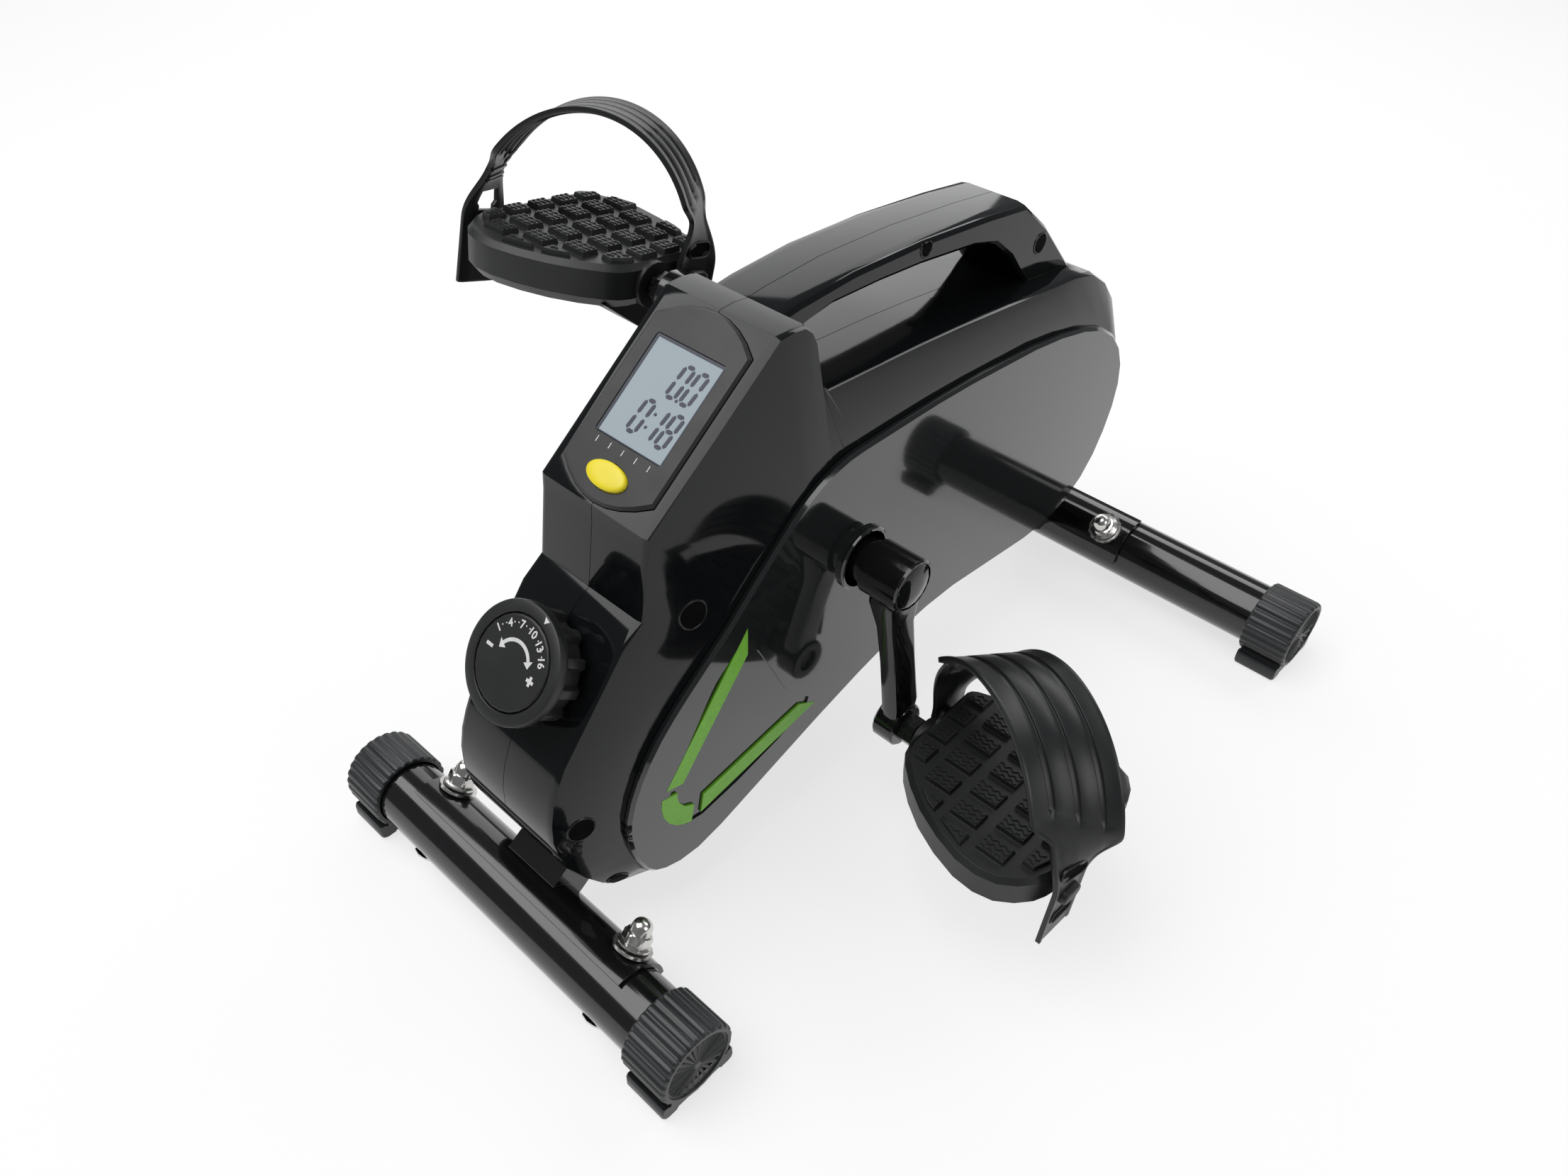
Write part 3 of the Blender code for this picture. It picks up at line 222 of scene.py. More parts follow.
WELD_REACH = 0.2
FLAT_ANGLE = math.radians(1.0)
EDGE_ANGLE = math.radians(30.0)
EDGE_SEGMENTS = 3
CREASE_ANGLE = math.radians(38.0)
EDGE_WIDTHS = {
    "housing": 0.5, "side_cover": 0.4, "console": 0.5, "dial": 0.5, "crank_arm": 0.8, "pedal_body": 0.6,
    "pedal_strap": 0.5, "main_frame": 0.6,
}


def polish(name, width):
    """Rounds a node's edges by width and gives it its material."""
    obj = nodes[name]
    mesh = obj.data
    if "custom_normal" in mesh.attributes:
        mesh.attributes.remove(mesh.attributes["custom_normal"])
    for face in mesh.polygons:
        face.use_smooth = True
    weld = obj.modifiers.new("weld", "WELD")
    weld.merge_threshold = WELD_REACH * MM
    if width:
        flats = obj.modifiers.new("flats", "DECIMATE")
        flats.decimate_type = "DISSOLVE"
        flats.angle_limit = FLAT_ANGLE
        bevel = obj.modifiers.new("edges", "BEVEL")
        bevel.limit_method = "ANGLE"
        bevel.angle_limit = EDGE_ANGLE
        bevel.width = width * MM
        bevel.segments = EDGE_SEGMENTS
    split = obj.modifiers.new("creases", "EDGE_SPLIT")
    split.split_angle = CREASE_ANGLE
    if width:
        level = obj.modifiers.new("level", "WEIGHTED_NORMAL")
        level.keep_sharp = True
    mesh.materials.clear()
    mesh.materials.append(AXLE_BLACK if name.startswith("pedal_axle") else MATERIALS[SLOTS[name]])


for name in nodes:
    width = 0.0
    for start, value in EDGE_WIDTHS.items():
        if name.startswith(start):
            width = value
    polish(name, width)


# Building pieces

def finish_piece(name, bm, material, body, smooth=False, crease=None):
    """A mesh in millimetres as a piece that rides on a body."""
    bmesh.ops.recalc_face_normals(bm, faces=bm.faces)
    bmesh.ops.scale(bm, vec=(MM, MM, MM), verts=bm.verts)
    mesh = bpy.data.meshes.new(name)
    bm.to_mesh(mesh)
    bm.free()
    for face in mesh.polygons:
        face.use_smooth = smooth
    mesh.materials.append(material)
    obj = bpy.data.objects.new(name, mesh)
    scene.collection.objects.link(obj)
    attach(obj, body)
    if crease:
        split = obj.modifiers.new("creases", "EDGE_SPLIT")
        split.split_angle = math.radians(crease)
    return obj


def skin(bm, rings, first=True, last=True):
    """Adds a closed tube of faces through rings of points."""
    loops = [[bm.verts.new(p) for p in ring] for ring in rings]
    for low, high in zip(loops, loops[1:]):
        for i in range(len(low)):
            j = (i + 1) % len(low)
            bm.faces.new((low[i], low[j], high[j], high[i]))
    if first:
        bm.faces.new(loops[0][::-1])
    if last:
        bm.faces.new(loops[-1])


def plane_of(origin, right, up):
    """Matrix of a drawing plane; its third axis leaves the surface."""
    right = Vector(right).normalized()
    up = Vector(up).normalized()
    out = right.cross(up)
    return Matrix((
        (right.x, up.x, out.x, origin[0]),
        (right.y, up.y, out.y, origin[1]),
        (right.z, up.z, out.z, origin[2]),
        (0, 0, 0, 1),
    ))


def console_point(s, n):
    """Point on the middle line, s up the display's slope and n out of it."""
    y = CONSOLE[0] + s * math.cos(CONSOLE_SLOPE) - n * math.sin(CONSOLE_SLOPE)
    z = CONSOLE[1] + s * math.sin(CONSOLE_SLOPE) + n * math.cos(CONSOLE_SLOPE)
    return (0.0, y, z)


def mark(name, outlines, plane, material, body, lift=LIFT, thick=0.1):
    """Thin printed shapes on a plane, as closed prisms."""
    bm = bmesh.new()
    for outline in outlines:
        skin(bm, [[plane @ Vector((a, b, lift - thick)) for a, b in outline],
                  [plane @ Vector((a, b, lift)) for a, b in outline]])
    finish_piece(name, bm, material, body)


def figure(name, text, size, spot, plane, material, body, turn):
    """A number in the plain built-in typeface, as a mesh."""
    data = bpy.data.curves.new(name, "FONT")
    data.body = text
    data.size = size * MM
    data.align_x = "CENTER"
    data.align_y = "CENTER"
    data.extrude = FIGURE_HALF_DEPTH * MM
    data.offset = BOLD * MM
    text_obj = bpy.data.objects.new(name, data)
    scene.collection.objects.link(text_obj)
    bpy.context.view_layer.update()
    mesh = bpy.data.meshes.new_from_object(text_obj.evaluated_get(bpy.context.evaluated_depsgraph_get()))
    bpy.data.objects.remove(text_obj)
    spin = Matrix.Rotation(turn, 4, "Z")
    scaled = plane.copy()
    scaled.translation = scaled.translation * MM
    mesh.transform(scaled @ Matrix.Translation((spot[0] * MM, spot[1] * MM, LIFT * MM)) @ spin)
    mesh.name = name
    mesh.materials.clear()
    mesh.materials.append(material)
    obj = bpy.data.objects.new(name, mesh)
    scene.collection.objects.link(obj)
    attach(obj, body)


# End caps: fluted sleeves with a sunburst end and a lipped foot

TUBE_R = 19.0
FRONT_HALF = 129.0
REAR_HALF = 196.0
CAP_R = 22.5
CAP_LENGTH = 29.0
FOOT_HALF = 23.0
FLUTES = 26
RAYS = 26
CAP_POINTS = 312
CAP_CREASE = 34
# Rows of a cap: place from its mouth or its end, radius, and depth of the flutes or rays
CAP_MOUTH = ((6.0, TUBE_R + 0.4, 0.0), (0.0, TUBE_R + 0.6, 0.0), (0.0, CAP_R - 0.9, 0.6),
             (0.7, CAP_R - 0.15, 0.8), (1.6, CAP_R, 0.9))
CAP_END = ((-2.2, CAP_R, 0.9), (-0.8, CAP_R - 0.4, 0.8), (0.0, CAP_R - 1.5, 0.3), (0.0, CAP_R - 3.4, 0.0),
           (-0.9, CAP_R - 3.8, 0.0))
SUNBURST = ((-1.0, CAP_R - 4.4, 0.0), (-0.3, CAP_R - 5.2, 2.2), (-0.7, 2.6, 0.4), (-0.7, 2.0, 0.0),
            (-0.5, 0.4, 0.0))
# Half of a foot seen along the bar: distance in from its edge and height over the floor
FOOT_EDGE = ((13.0, 1.6), (9.5, 1.6), (8.0, 0.0), (3.0, 0.0), (0.9, 0.9), (0.0, 3.0), (0.2, 8.0), (1.2, 9.6),
             (3.0, 9.4), (4.6, 8.0), (6.5, 12.0), (FOOT_HALF, 12.0))
FOOT_TAPER = 0.97
FOOT_RISE = 0.6


def cap_ring(x, radius, depth):
    """Ring of a cap whose flutes sink by depth."""
    ring = []
    for i in range(CAP_POINTS):
        t = 2 * math.pi * i / CAP_POINTS
        r = radius - depth * (0.5 - 0.5 * math.cos(FLUTES * t)) ** 2
        ring.append((x, r * math.cos(t), r * math.sin(t)))
    return ring


def ray_ring(x, radius, depth):
    """Ring of the sunburst, whose rays rise and sink along X."""
    ring = []
    for i in range(CAP_POINTS):
        t = 2 * math.pi * i / CAP_POINTS
        sink = abs(2 * ((RAYS * i / CAP_POINTS) % 1.0) - 1)
        ring.append((x - depth * sink, radius * math.cos(t), radius * math.sin(t)))
    return ring


def foot_ring(x, taper, rise):
    """Ring of a foot across the bar: a flat base with rounded ends and lips."""
    half = [(FOOT_HALF - inset, z) for inset, z in FOOT_EDGE]
    outline = half + [(-v, z) for v, z in reversed(half[:-1])]
    return [(x, v * taper, z - BAR_Z + rise) for v, z in outline]


def end_cap(name, y, half, side):
    """Cap whose end is at half the bar's length."""
    bm = bmesh.new()
    start = half - CAP_LENGTH
    sleeve = [cap_ring(start + x, radius, depth) for x, radius, depth in CAP_MOUTH]
    sleeve += [cap_ring(half + x, radius, depth) for x, radius, depth in CAP_END]
    sleeve += [ray_ring(half + x, radius, depth) for x, radius, depth in SUNBURST]
    skin(bm, sleeve, first=False)
    foot = ((start + 2, FOOT_TAPER, FOOT_RISE), (start + 3, 1, 0), (half - 2, 1, 0),
            (half - 1, FOOT_TAPER, FOOT_RISE))
    skin(bm, [foot_ring(*row) for row in foot])
    bm.transform(Matrix.Translation((0, y, BAR_Z)))
    if side < 0:
        bmesh.ops.scale(bm, vec=(-1, 1, 1), verts=bm.verts)
    piece = finish_piece(name + "_fluted", bm, MATERIALS["cap_black"], "base", True, CAP_CREASE)
    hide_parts(name)


for which, y, half in (("front", FRONT_Y, FRONT_HALF), ("rear", REAR_Y, REAR_HALF)):
    for side, word in SIDES:
        end_cap(which + "_cap_" + word, y, half, side)


# Acorn nuts: a flange, a chamfered hexagon and a dome

SADDLE_LEAN = math.radians(38.0)
NUT_BASE = 24.5
NUT_ACROSS = 13.0
NUT_POINTS = 72
NUT_CREASE = 28
FRONT_BOLT_X = 70.0
REAR_BOLT_X = 60.0
# Rows of a nut: height, largest radius that the chamfer leaves, and if the row is hexagonal
NUT_ROWS = ((0.0, 8.6, False), (0.9, 8.4, False), (1.4, 7.0, True), (1.9, 7.6, True), (6.2, 7.6, True),
            (6.9, 6.6, True), (7.1, 5.5, False), (10.2, 5.35, False), (11.6, 5.0, False), (12.8, 4.3, False),
            (13.7, 3.2, False), (14.3, 1.8, False), (14.5, 0.3, False))


def nut_ring(z, limit, hexagon):
    """Ring of a nut at a height."""
    ring = []
    for i in range(NUT_POINTS):
        t = 2 * math.pi * i / NUT_POINTS
        flat = NUT_ACROSS / 2 / math.cos((t + math.pi / 6) % (math.pi / 3) - math.pi / 6)
        r = min(limit, flat) if hexagon else limit
        ring.append((r * math.cos(t), r * math.sin(t), NUT_BASE + z))
    return ring


BOLTS = (("front", FRONT_Y, FRONT_BOLT_X, -SADDLE_LEAN), ("rear", REAR_Y, REAR_BOLT_X, SADDLE_LEAN))
for which, y, x, lean in BOLTS:
    for side, word in SIDES:
        bm = bmesh.new()
        skin(bm, [nut_ring(*row) for row in NUT_ROWS])
        bm.transform(Matrix.Translation((side * x, y, BAR_Z)) @ Matrix.Rotation(lean, 4, "X"))
        acorn = finish_piece("%s_acorn_%s" % (which, word), bm, MATERIALS["zinc"], "base", True, NUT_CREASE)
        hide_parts("%s_nut_%s" % (which, word))


# Pedal straps: a moulded band with three channels, which are open slots on the left one

PEDAL_IN = 102.0
PEDAL_W = 100.0
PEDAL_TOP = 12.0
STRAP_T = 2.6
STRAP_W = 46.0
STRAP_END_W = 26.0
STRAP_RISE = 72.0
STRAP_STAND = 3.2
STRAP_LOW = PEDAL_IN - STRAP_STAND - STRAP_T / 2
STRAP_HIGH = PEDAL_IN + PEDAL_W + STRAP_STAND + STRAP_T / 2
STRAP_INNER = 24.0
STRAP_OUTER = -28.0
OUTER_TAIL = 28.0
INNER_TAIL = 16.0
STRAP_LEAN = math.radians(8.0)
STRAP_UP = Vector((0, math.sin(STRAP_LEAN), math.cos(STRAP_LEAN)))
STRAP_FLAT = Vector((0, math.cos(STRAP_LEAN), -math.sin(STRAP_LEAN)))
STRAP_TWIST = math.radians(34.0)
TWIST_SPAN = 0.4
ARM = 6.0
RIGHT_TILT = 1.0
LEFT_TILT = -10.0
ARM_ROWS = 16
ARCH_ROWS = 96
TAIL_ROWS = 24
# Raised edge of a strap: its height, and where its top and its foot end
LIP_H = 0.5
LIP_TOP = 1.5
LIP_FOOT = 2.4
# Channels: places across, half width, least half width, depth, width of an edge, margin to the strap's
# edge, and pitch in the arms
CHANNELS = (-0.52, 0.02, 0.56)
CHANNEL_HALF = 2.0
CHANNEL_LEAST = 0.3
CHANNEL_DEPTH = 1.2
CHANNEL_EDGE = 0.5
CHANNEL_MARGIN = 6.0
CHANNEL_PITCH = 5.0
# Openness at which the channels start, the span in which they sink, and the end of the arms' even pitch
CHANNEL_ENDS = (0.54, 0.48, 0.42)
CHANNEL_SPAN = 0.05
CHANNEL_ARM = 0.1
# Slots of the left strap: columns of the channels' floors, half width, where they are wide, and where open
SLOT_COLUMNS = (4, 8, 12)
SLOT_HALF = 3.3
SLOT_WIDE = 0.9
SLOT_START = 0.03
SLOT_STOP = 0.88
# Window of the left strap's buckle: heights, openness that it ends at and columns
WINDOW = (10.0, 23.0)
WINDOW_STOP = 0.35
WINDOW_COLUMNS = range(5, 13)
STRAP_EDGE = 0.5
STRAP_EDGE_ANGLE = math.radians(50.0)
STRAP_CREASE = math.radians(34.0)
# Where each strap's front and back edge widen, by its end
SHOULDERS = {
    ("right", "outer"): ((0.34, 0.5), (0.16, 0.34)), ("right", "inner"): ((0.56, 0.7), (0.3, 0.5)),
    ("left", "outer"): ((0.44, 0.6), (0.44, 0.6)), ("left", "inner"): ((0.34, 0.5), (0.3, 0.48)),
}


def pedal_frame(side):
    """From a right-handed pedal's own millimetres to the part's frame."""
    place, tilt = (NEAR_AXLE, RIGHT_TILT) if side > 0 else (FAR_AXLE, LEFT_TILT)
    turn = Matrix.Rotation(math.radians(tilt), 4, "X")
    return Matrix.Translation((0, *place)) @ turn @ Matrix.Diagonal((side, 1, 1, 1))


def ease(value, low, high):
    """Smooth step from 0 at low to 1 at high."""
    t = min(1.0, max(0.0, (value - low) / (high - low)))
    return t * t * (3 - 2 * t)


def strap_rows():
    """Stations along the strap: place, across, normal, openness, height and share of the way outward."""
    first = Vector((STRAP_LOW, STRAP_INNER, 0))
    last = Vector((STRAP_HIGH, STRAP_OUTER, 0))
    spans = []
    for i in range(ARM_ROWS):
        spans.append((0.0, -INNER_TAIL + (INNER_TAIL + ARM) * i / ARM_ROWS, 0.0))
    for i in range(ARCH_ROWS + 1):
        a = math.pi * (1 - i / ARCH_ROWS)
        lift = max(0.0, math.sin(a))
        spans.append(((1 + math.cos(a)) / 2, ARM + (STRAP_RISE - ARM) * lift, lift))
    for i in range(TAIL_ROWS):
        spans.append((1.0, ARM - (OUTER_TAIL + ARM) * (i + 1) / TAIL_ROWS, 0.0))
    path = [first.lerp(last, f) + STRAP_UP * h for f, h, _ in spans]
    rows = []
    for i, (f, h, open_up) in enumerate(spans):
        run = (path[min(i + 1, len(path) - 1)] - path[max(i - 1, 0)]).normalized()
        twist = STRAP_TWIST * ease(open_up, 0.0, TWIST_SPAN)
        across = STRAP_FLAT * math.cos(twist) + Vector((math.sin(twist), 0, 0))
        rows.append((path[i], across, run.cross(across).normalized(), open_up, h, f))
    return rows


def strap_spot(end, height):
    """Place, direction across, direction up and outward normal on a strap's arm at a height."""
    rows = [row for row in strap_rows() if (row[5] > 0.5) == (end == "outer")]
    place, across, normal, _, _, _ = min(rows, key=lambda row: abs(row[4] - height))
    across = across if end == "outer" else -across
    return place + normal * STRAP_T / 2, across, normal.cross(across), normal


def strap(side, word):
    """Band through the rows with lips, channels and, on the left, slots and a window."""
    bm = bmesh.new()
    grid = []
    holes = []
    narrow = STRAP_END_W / 2
    wide = STRAP_W / 2
    for place, across, normal, open_up, h, f in strap_rows():
        end = "outer" if f > 0.5 else "inner"
        front, back = [narrow + (wide - narrow) * ease(open_up, *span) for span in SHOULDERS[word, end]]
        lines = [(-front, LIP_H), (-front + LIP_TOP, LIP_H), (-front + LIP_FOOT, 0.0)]
        gaps = set()
        for k, c in enumerate(CHANNELS):
            start = CHANNEL_ENDS[k if end == "outer" else -1 - k]
            share = ease(open_up, start, start + CHANNEL_SPAN)
            full = SLOT_HALF if (word, end) == ("left", "inner") and open_up < SLOT_WIDE else CHANNEL_HALF
            half = max(CHANNEL_LEAST, full * math.sqrt(share))
            middle = (k - 1) * CHANNEL_PITCH
            if open_up > CHANNEL_ARM:
                middle = min(back - CHANNEL_MARGIN, max(-front + CHANNEL_MARGIN, c * wide))
            lines += [(middle - half - CHANNEL_EDGE, 0.0), (middle - half, -CHANNEL_DEPTH * share),
                      (middle + half, -CHANNEL_DEPTH * share), (middle + half + CHANNEL_EDGE, 0.0)]
            if word == "left" and start + SLOT_START < open_up < SLOT_STOP:
                gaps.add(SLOT_COLUMNS[k])
        lines += [(back - LIP_FOOT, 0.0), (back - LIP_TOP, LIP_H), (back, LIP_H)]
        if (word, end) == ("left", "outer") and WINDOW[0] < h < WINDOW[1] and open_up < WINDOW_STOP:
            gaps.update(WINDOW_COLUMNS)
        grid.append([bm.verts.new(place + across * b + normal * a) for b, a in lines])
        holes.append(gaps)
    for i in range(len(grid) - 1):
        for j in range(len(grid[i]) - 1):
            if j not in holes[i] & holes[i + 1]:
                bm.faces.new((grid[i][j], grid[i][j + 1], grid[i + 1][j + 1], grid[i + 1][j]))
    bm.transform(pedal_frame(side))
    piece = finish_piece("strap_" + word, bm, MATERIALS["strap_black"], "pedal_" + word, True)
    thick = piece.modifiers.new("thickness", "SOLIDIFY")
    thick.thickness = STRAP_T * MM
    thick.offset = 0.0
    edges = piece.modifiers.new("edges", "BEVEL")
    edges.limit_method = "ANGLE"
    edges.angle_limit = STRAP_EDGE_ANGLE
    edges.width = STRAP_EDGE * MM
    edges.segments = 2
    split = piece.modifiers.new("creases", "EDGE_SPLIT")
    split.split_angle = STRAP_CREASE
    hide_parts("pedal_strap_" + word)


for side, word in SIDES:
    strap(side, word)


def oval(centre, along, across, long_half, short_half, count=24):
    """Points of a long round-ended slot in space."""
    flat = long_half - short_half
    points = []
    for i in range(count):
        t = 2 * math.pi * i / count
        shift = flat if math.cos(t) > 0 else -flat
        reach = shift + short_half * math.cos(t)
        points.append(centre + along * reach + across * (short_half * math.sin(t)))
    return points


# Slots on a strap's tail: half length and half width, heights on the strap, rows of growth and height of the
# rim, and heights of the floor, a near-black plate of painted shade
TAIL_SLOT = (8.4, 3.4)
TAIL_SLOT_HEIGHTS = (14.5, -13.5)
TAIL_SLOT_RIM = ((0.9, -0.4), (0.9, 0.5), (0.4, 0.8), (0.0, 0.5), (-0.1, -0.4))
TAIL_SLOT_FLOOR = (-0.3, 0.15)
# Grip ridges: rise to the first, pitch, stations along with their height, and section
RIDGE_RISE = 3.5
RIDGE_PITCH = 3.2
RIDGE_RUN = ((-11.0, 0.3), (-10.2, 1.0), (10.2, 1.0), (11.0, 0.3))
RIDGE_SECTION = ((-1.2, -0.2), (-0.6, 0.9), (0.6, 0.9), (1.2, -0.2), (0.6, -3.4), (-0.6, -3.4))
# Peg head: half length and half width, and rows of height and growth
PEG_HEAD = (7.0, 3.9)
PEG_ROWS = ((-0.6, 0.4), (0.4, 0.3), (2.4, 0.0), (3.0, -0.5), (3.2, -1.3))
PEG_CREASE = 50
MOULDED_CREASE = 40


def rimmed_slot(name, centre, along, across, body, side):
    """A slot with a raised rim on a strap's tail, with a near-black floor plate as painted shade."""
    out = along.cross(across)
    long_half, short_half = TAIL_SLOT
    bm = bmesh.new()
    skin(bm, [oval(centre + out * n, along, across, long_half + g, short_half + g) for g, n in TAIL_SLOT_RIM],
         first=False, last=False)
    bm.transform(pedal_frame(side))
    rim = finish_piece(name + "_rim", bm, MATERIALS["strap_black"], body, True, MOULDED_CREASE)
    # The slot's floor is a plate painted near-black as the shade inside the slot
    bm = bmesh.new()
    skin(bm, [oval(centre + out * n, along, across, long_half, short_half) for n in TAIL_SLOT_FLOOR])
    bm.transform(pedal_frame(side))
    finish_piece(name, bm, PAINTED_SHADE_BLACK, body)


def buckle_ridges(name, body, side):
    """Grip ridges across a strap's outer end, above the window of its buckle."""
    bm = bmesh.new()
    for k in range(3):
        middle, across, up, out = strap_spot("outer", WINDOW[1] + RIDGE_RISE + RIDGE_PITCH * k)
        rings = []
        for b, high in RIDGE_RUN:
            rings.append([middle + across * b + up * h + out * n * high for h, n in RIDGE_SECTION])
        skin(bm, rings)
    bm.transform(pedal_frame(side))
    piece = finish_piece(name, bm, MATERIALS["strap_black"], body, True, MOULDED_CREASE)


def strap_peg(name, end, body, side):
    """Head of the peg that holds a strap between two of its slots."""
    middle, across, up, out = strap_spot(end, 0.0)
    bm = bmesh.new()
    skin(bm, [oval(middle + out * n, across, up, PEG_HEAD[0] + g, PEG_HEAD[1] + g, 32) for n, g in PEG_ROWS])
    bm.transform(pedal_frame(side))
    piece = finish_piece(name, bm, MATERIALS["pedal_black"], body, True, PEG_CREASE)


for side, word in SIDES:
    body = "pedal_" + word
    end = "outer" if side > 0 else "inner"
    for k, height in enumerate(TAIL_SLOT_HEIGHTS):
        middle, across, up, _ = strap_spot(end, height)
        rimmed_slot("strap_slot_%s_%d" % (word, k), middle, across, up, body, side)
    strap_peg("strap_peg_" + word, end, body, side)
buckle_ridges("strap_ridges_left", "pedal_left", -1)


# Tread: blocks cut off by the rim, and wavy ridges on all blocks

TREAD_PITCH = 21.5
TREAD_STEP = 16.0
TREAD_GAP = 4.5
TREAD_TOP = PEDAL_TOP + 2.6
TREAD_COLUMNS = range(-3, 4)
TREAD_ROWS = range(-5, 6)
# Rows of a cut block: height and share of its outline; a smaller piece than the least area is left off
CUT_BLOCK = ((PEDAL_TOP - 1, 1.0), (TREAD_TOP - 0.4, 0.9), (TREAD_TOP, 0.84))
LEAST_AREA = 25.0
WHOLE_SHARE = 0.995
# Wavy ridges: places across a block, points, swing, margin at a block's ends and section
WAVES = (-3.1, 0.0, 3.1)
WAVE_POINTS = 24
WAVE_SWING = 0.75
WAVE_MARGIN = 3.4
WAVE_SECTION = ((-0.7, -0.3), (-0.35, 0.6), (0.35, 0.6), (0.7, -0.3))
WAVE_LEAST = 4
# Inside of the pedal's rim, seen from above
RIM = [Vector(corner) for corner in (
    (3, -12), (10, -25), (31, -40), (60, -50.5), (80, -48.5), (91, -38), (95, -27), (95, 29), (89, 39),
    (63, 45.5), (28, 40.5), (7, 34.5), (4, 30))]
WAVE_FENCE_SHARE = 0.96


def clipped(outline, fence):
    """Outline cut to the inside of a fence that bulges everywhere."""
    for i in range(len(fence)):
        a = fence[i]
        b = fence[(i + 1) % len(fence)]
        kept = []
        for k in range(len(outline)):
            p = outline[k - 1]
            q = outline[k]
            inside_p = (b - a).cross(p - a)
            inside_q = (b - a).cross(q - a)
            if inside_p * inside_q < 0:
                kept.append(p + (q - p) * inside_p / (inside_p - inside_q))
            if inside_q >= 0:
                kept.append(q)
        outline = kept
        if len(outline) < 3:
            return []
    return outline


def area(outline):
    """Area inside an outline."""
    return sum(outline[k - 1].cross(outline[k]) for k in range(len(outline))) / 2


def shrunk(outline, share):
    """Outline scaled about its middle."""
    middle = sum(outline, Vector((0, 0))) / len(outline)
    return [middle + (p - middle) * share for p in outline]


def wave_ridge(bm, points, top):
    """A wavy ridge along points that stands on a block."""
    skin(bm, [[(PEDAL_IN + u, v + b, top + n) for b, n in WAVE_SECTION] for u, v in points])


def tread(side, word):
    """Edge blocks and wavy ridges of one pedal."""
    fence = shrunk(RIM, WAVE_FENCE_SHARE)
    blocks = bmesh.new()
    waves = bmesh.new()
    a = (TREAD_PITCH - TREAD_GAP) / 2
    b = (TREAD_STEP - TREAD_GAP) / 2
    for column in TREAD_COLUMNS:
        for row in TREAD_ROWS:
            u = PEDAL_W / 2 + column * TREAD_PITCH
            v = (row + column % 2 / 2) * TREAD_STEP
            whole = [Vector(c) for c in ((u - a, v - b), (u + a, v - b), (u + a, v + b), (u - a, v + b))]
            kept = clipped(whole, RIM)
            if not kept or area(kept) < LEAST_AREA:
                continue
            if area(kept) < WHOLE_SHARE * area(whole):
                skin(blocks, [[(PEDAL_IN + p.x, p.y, n) for p in shrunk(kept, k)] for n, k in CUT_BLOCK])
            for k in WAVES:
                line = []
                for i in range(WAVE_POINTS + 1):
                    along = (i / WAVE_POINTS - 0.5) * (2 * a - WAVE_MARGIN)
                    p = Vector((u + along, v + k + WAVE_SWING * math.sin(math.pi * i / 4)))
                    if clipped([p, p + Vector((0.01, 0)), p + Vector((0, 0.01))], fence):
                        line.append(p)
                if len(line) > WAVE_LEAST:
                    wave_ridge(waves, line, TREAD_TOP)
    for name, bm in (("tread_edge_blocks_", blocks), ("tread_waves_", waves)):
        bm.transform(pedal_frame(side))
        piece = finish_piece(name + word, bm, MATERIALS["pedal_black"], "pedal_" + word, True, MOULDED_CREASE)


for side, word in SIDES:
    tread(side, word)


# Screw recesses in the shell

# A ring is drawn in, share by share, until it is within a step of the shell's surface
LAID_STEP = 0.9
LAID_SHARES = (1.0, 0.9, 0.8, 0.7, 0.6, 0.5)
LAID_REACH = 6.0
# Rows of the lip: growth and height; rings of the near-black disc of painted shade by their share of the
# radius, and its height
RECESS_LIP = ((1.0, -0.3), (0.6, 0.4), (0.1, 0.5), (-0.2, 0.2))
RECESS_DISC = (1.0, 0.75, 0.5, 0.25, 0.04)
RECESS_DISC_H = 0.28
RECESS_CREASE = 60
# Half width, place in the side view and radius
SCREWS = (
    (38.8, 92.5, 162.1, 6.9), (37.5, 17.8, 76.7, 6.7), (36.7, 34.3, 19.9, 5.6), (21.0, 263.2, 263.5, 3.9),
    (21.0, 362.1, 230.2, 5.0), (40.0, 428.0, 150.0, 5.0),
)


def recess(name, spot, radius, node_name):
    """A round recess with a fine lip, on the shell nearest to the spot; a near-black disc on the shell stands
    in for the hole as painted shade.
    """
    tree = BVHTree.FromObject(nodes[node_name], bpy.context.evaluated_depsgraph_get())
    hit, out, _, _ = tree.find_nearest(Vector(spot) * MM)
    centre = Vector(hit) / MM
    along = out.orthogonal().normalized()
    across = out.cross(along)

    def laid(reach, height):
        """Ring on the shell's surface round the centre, drawn in where the surface falls away."""
        ring = []
        for p in oval(centre, along, across, reach, reach, 32):
            place = centre
            for share in LAID_SHARES:
                q = centre.lerp(p, share)
                found, _, _, _ = tree.ray_cast((q + out * LAID_REACH) * MM, -out, 2 * LAID_REACH * MM)
                if found and abs((Vector(found) / MM - q).dot(out)) < LAID_STEP:
                    place = Vector(found) / MM
                    break
            ring.append(place + out * height)
        return ring

    bm = bmesh.new()
    skin(bm, [laid(radius + g, n) for g, n in RECESS_LIP], first=False, last=False)
    lip = finish_piece(name + "_lip", bm, MATERIALS["shell_black"], "base", True, RECESS_CREASE)
    # The hole is a disc laid just over the shell and painted near-black as the shade inside it
    bm = bmesh.new()
    skin(bm, [laid(radius * k, RECESS_DISC_H) for k in RECESS_DISC], first=False)
    finish_piece(name, bm, PAINTED_SHADE_BLACK, "base")


for i, (x, y, z, radius) in enumerate(SCREWS):
    for side, word in SIDES:
        recess("screw_recess_%d_%s" % (i, word), (side * x, *side_view(y, z)), radius, "housing_" + word)
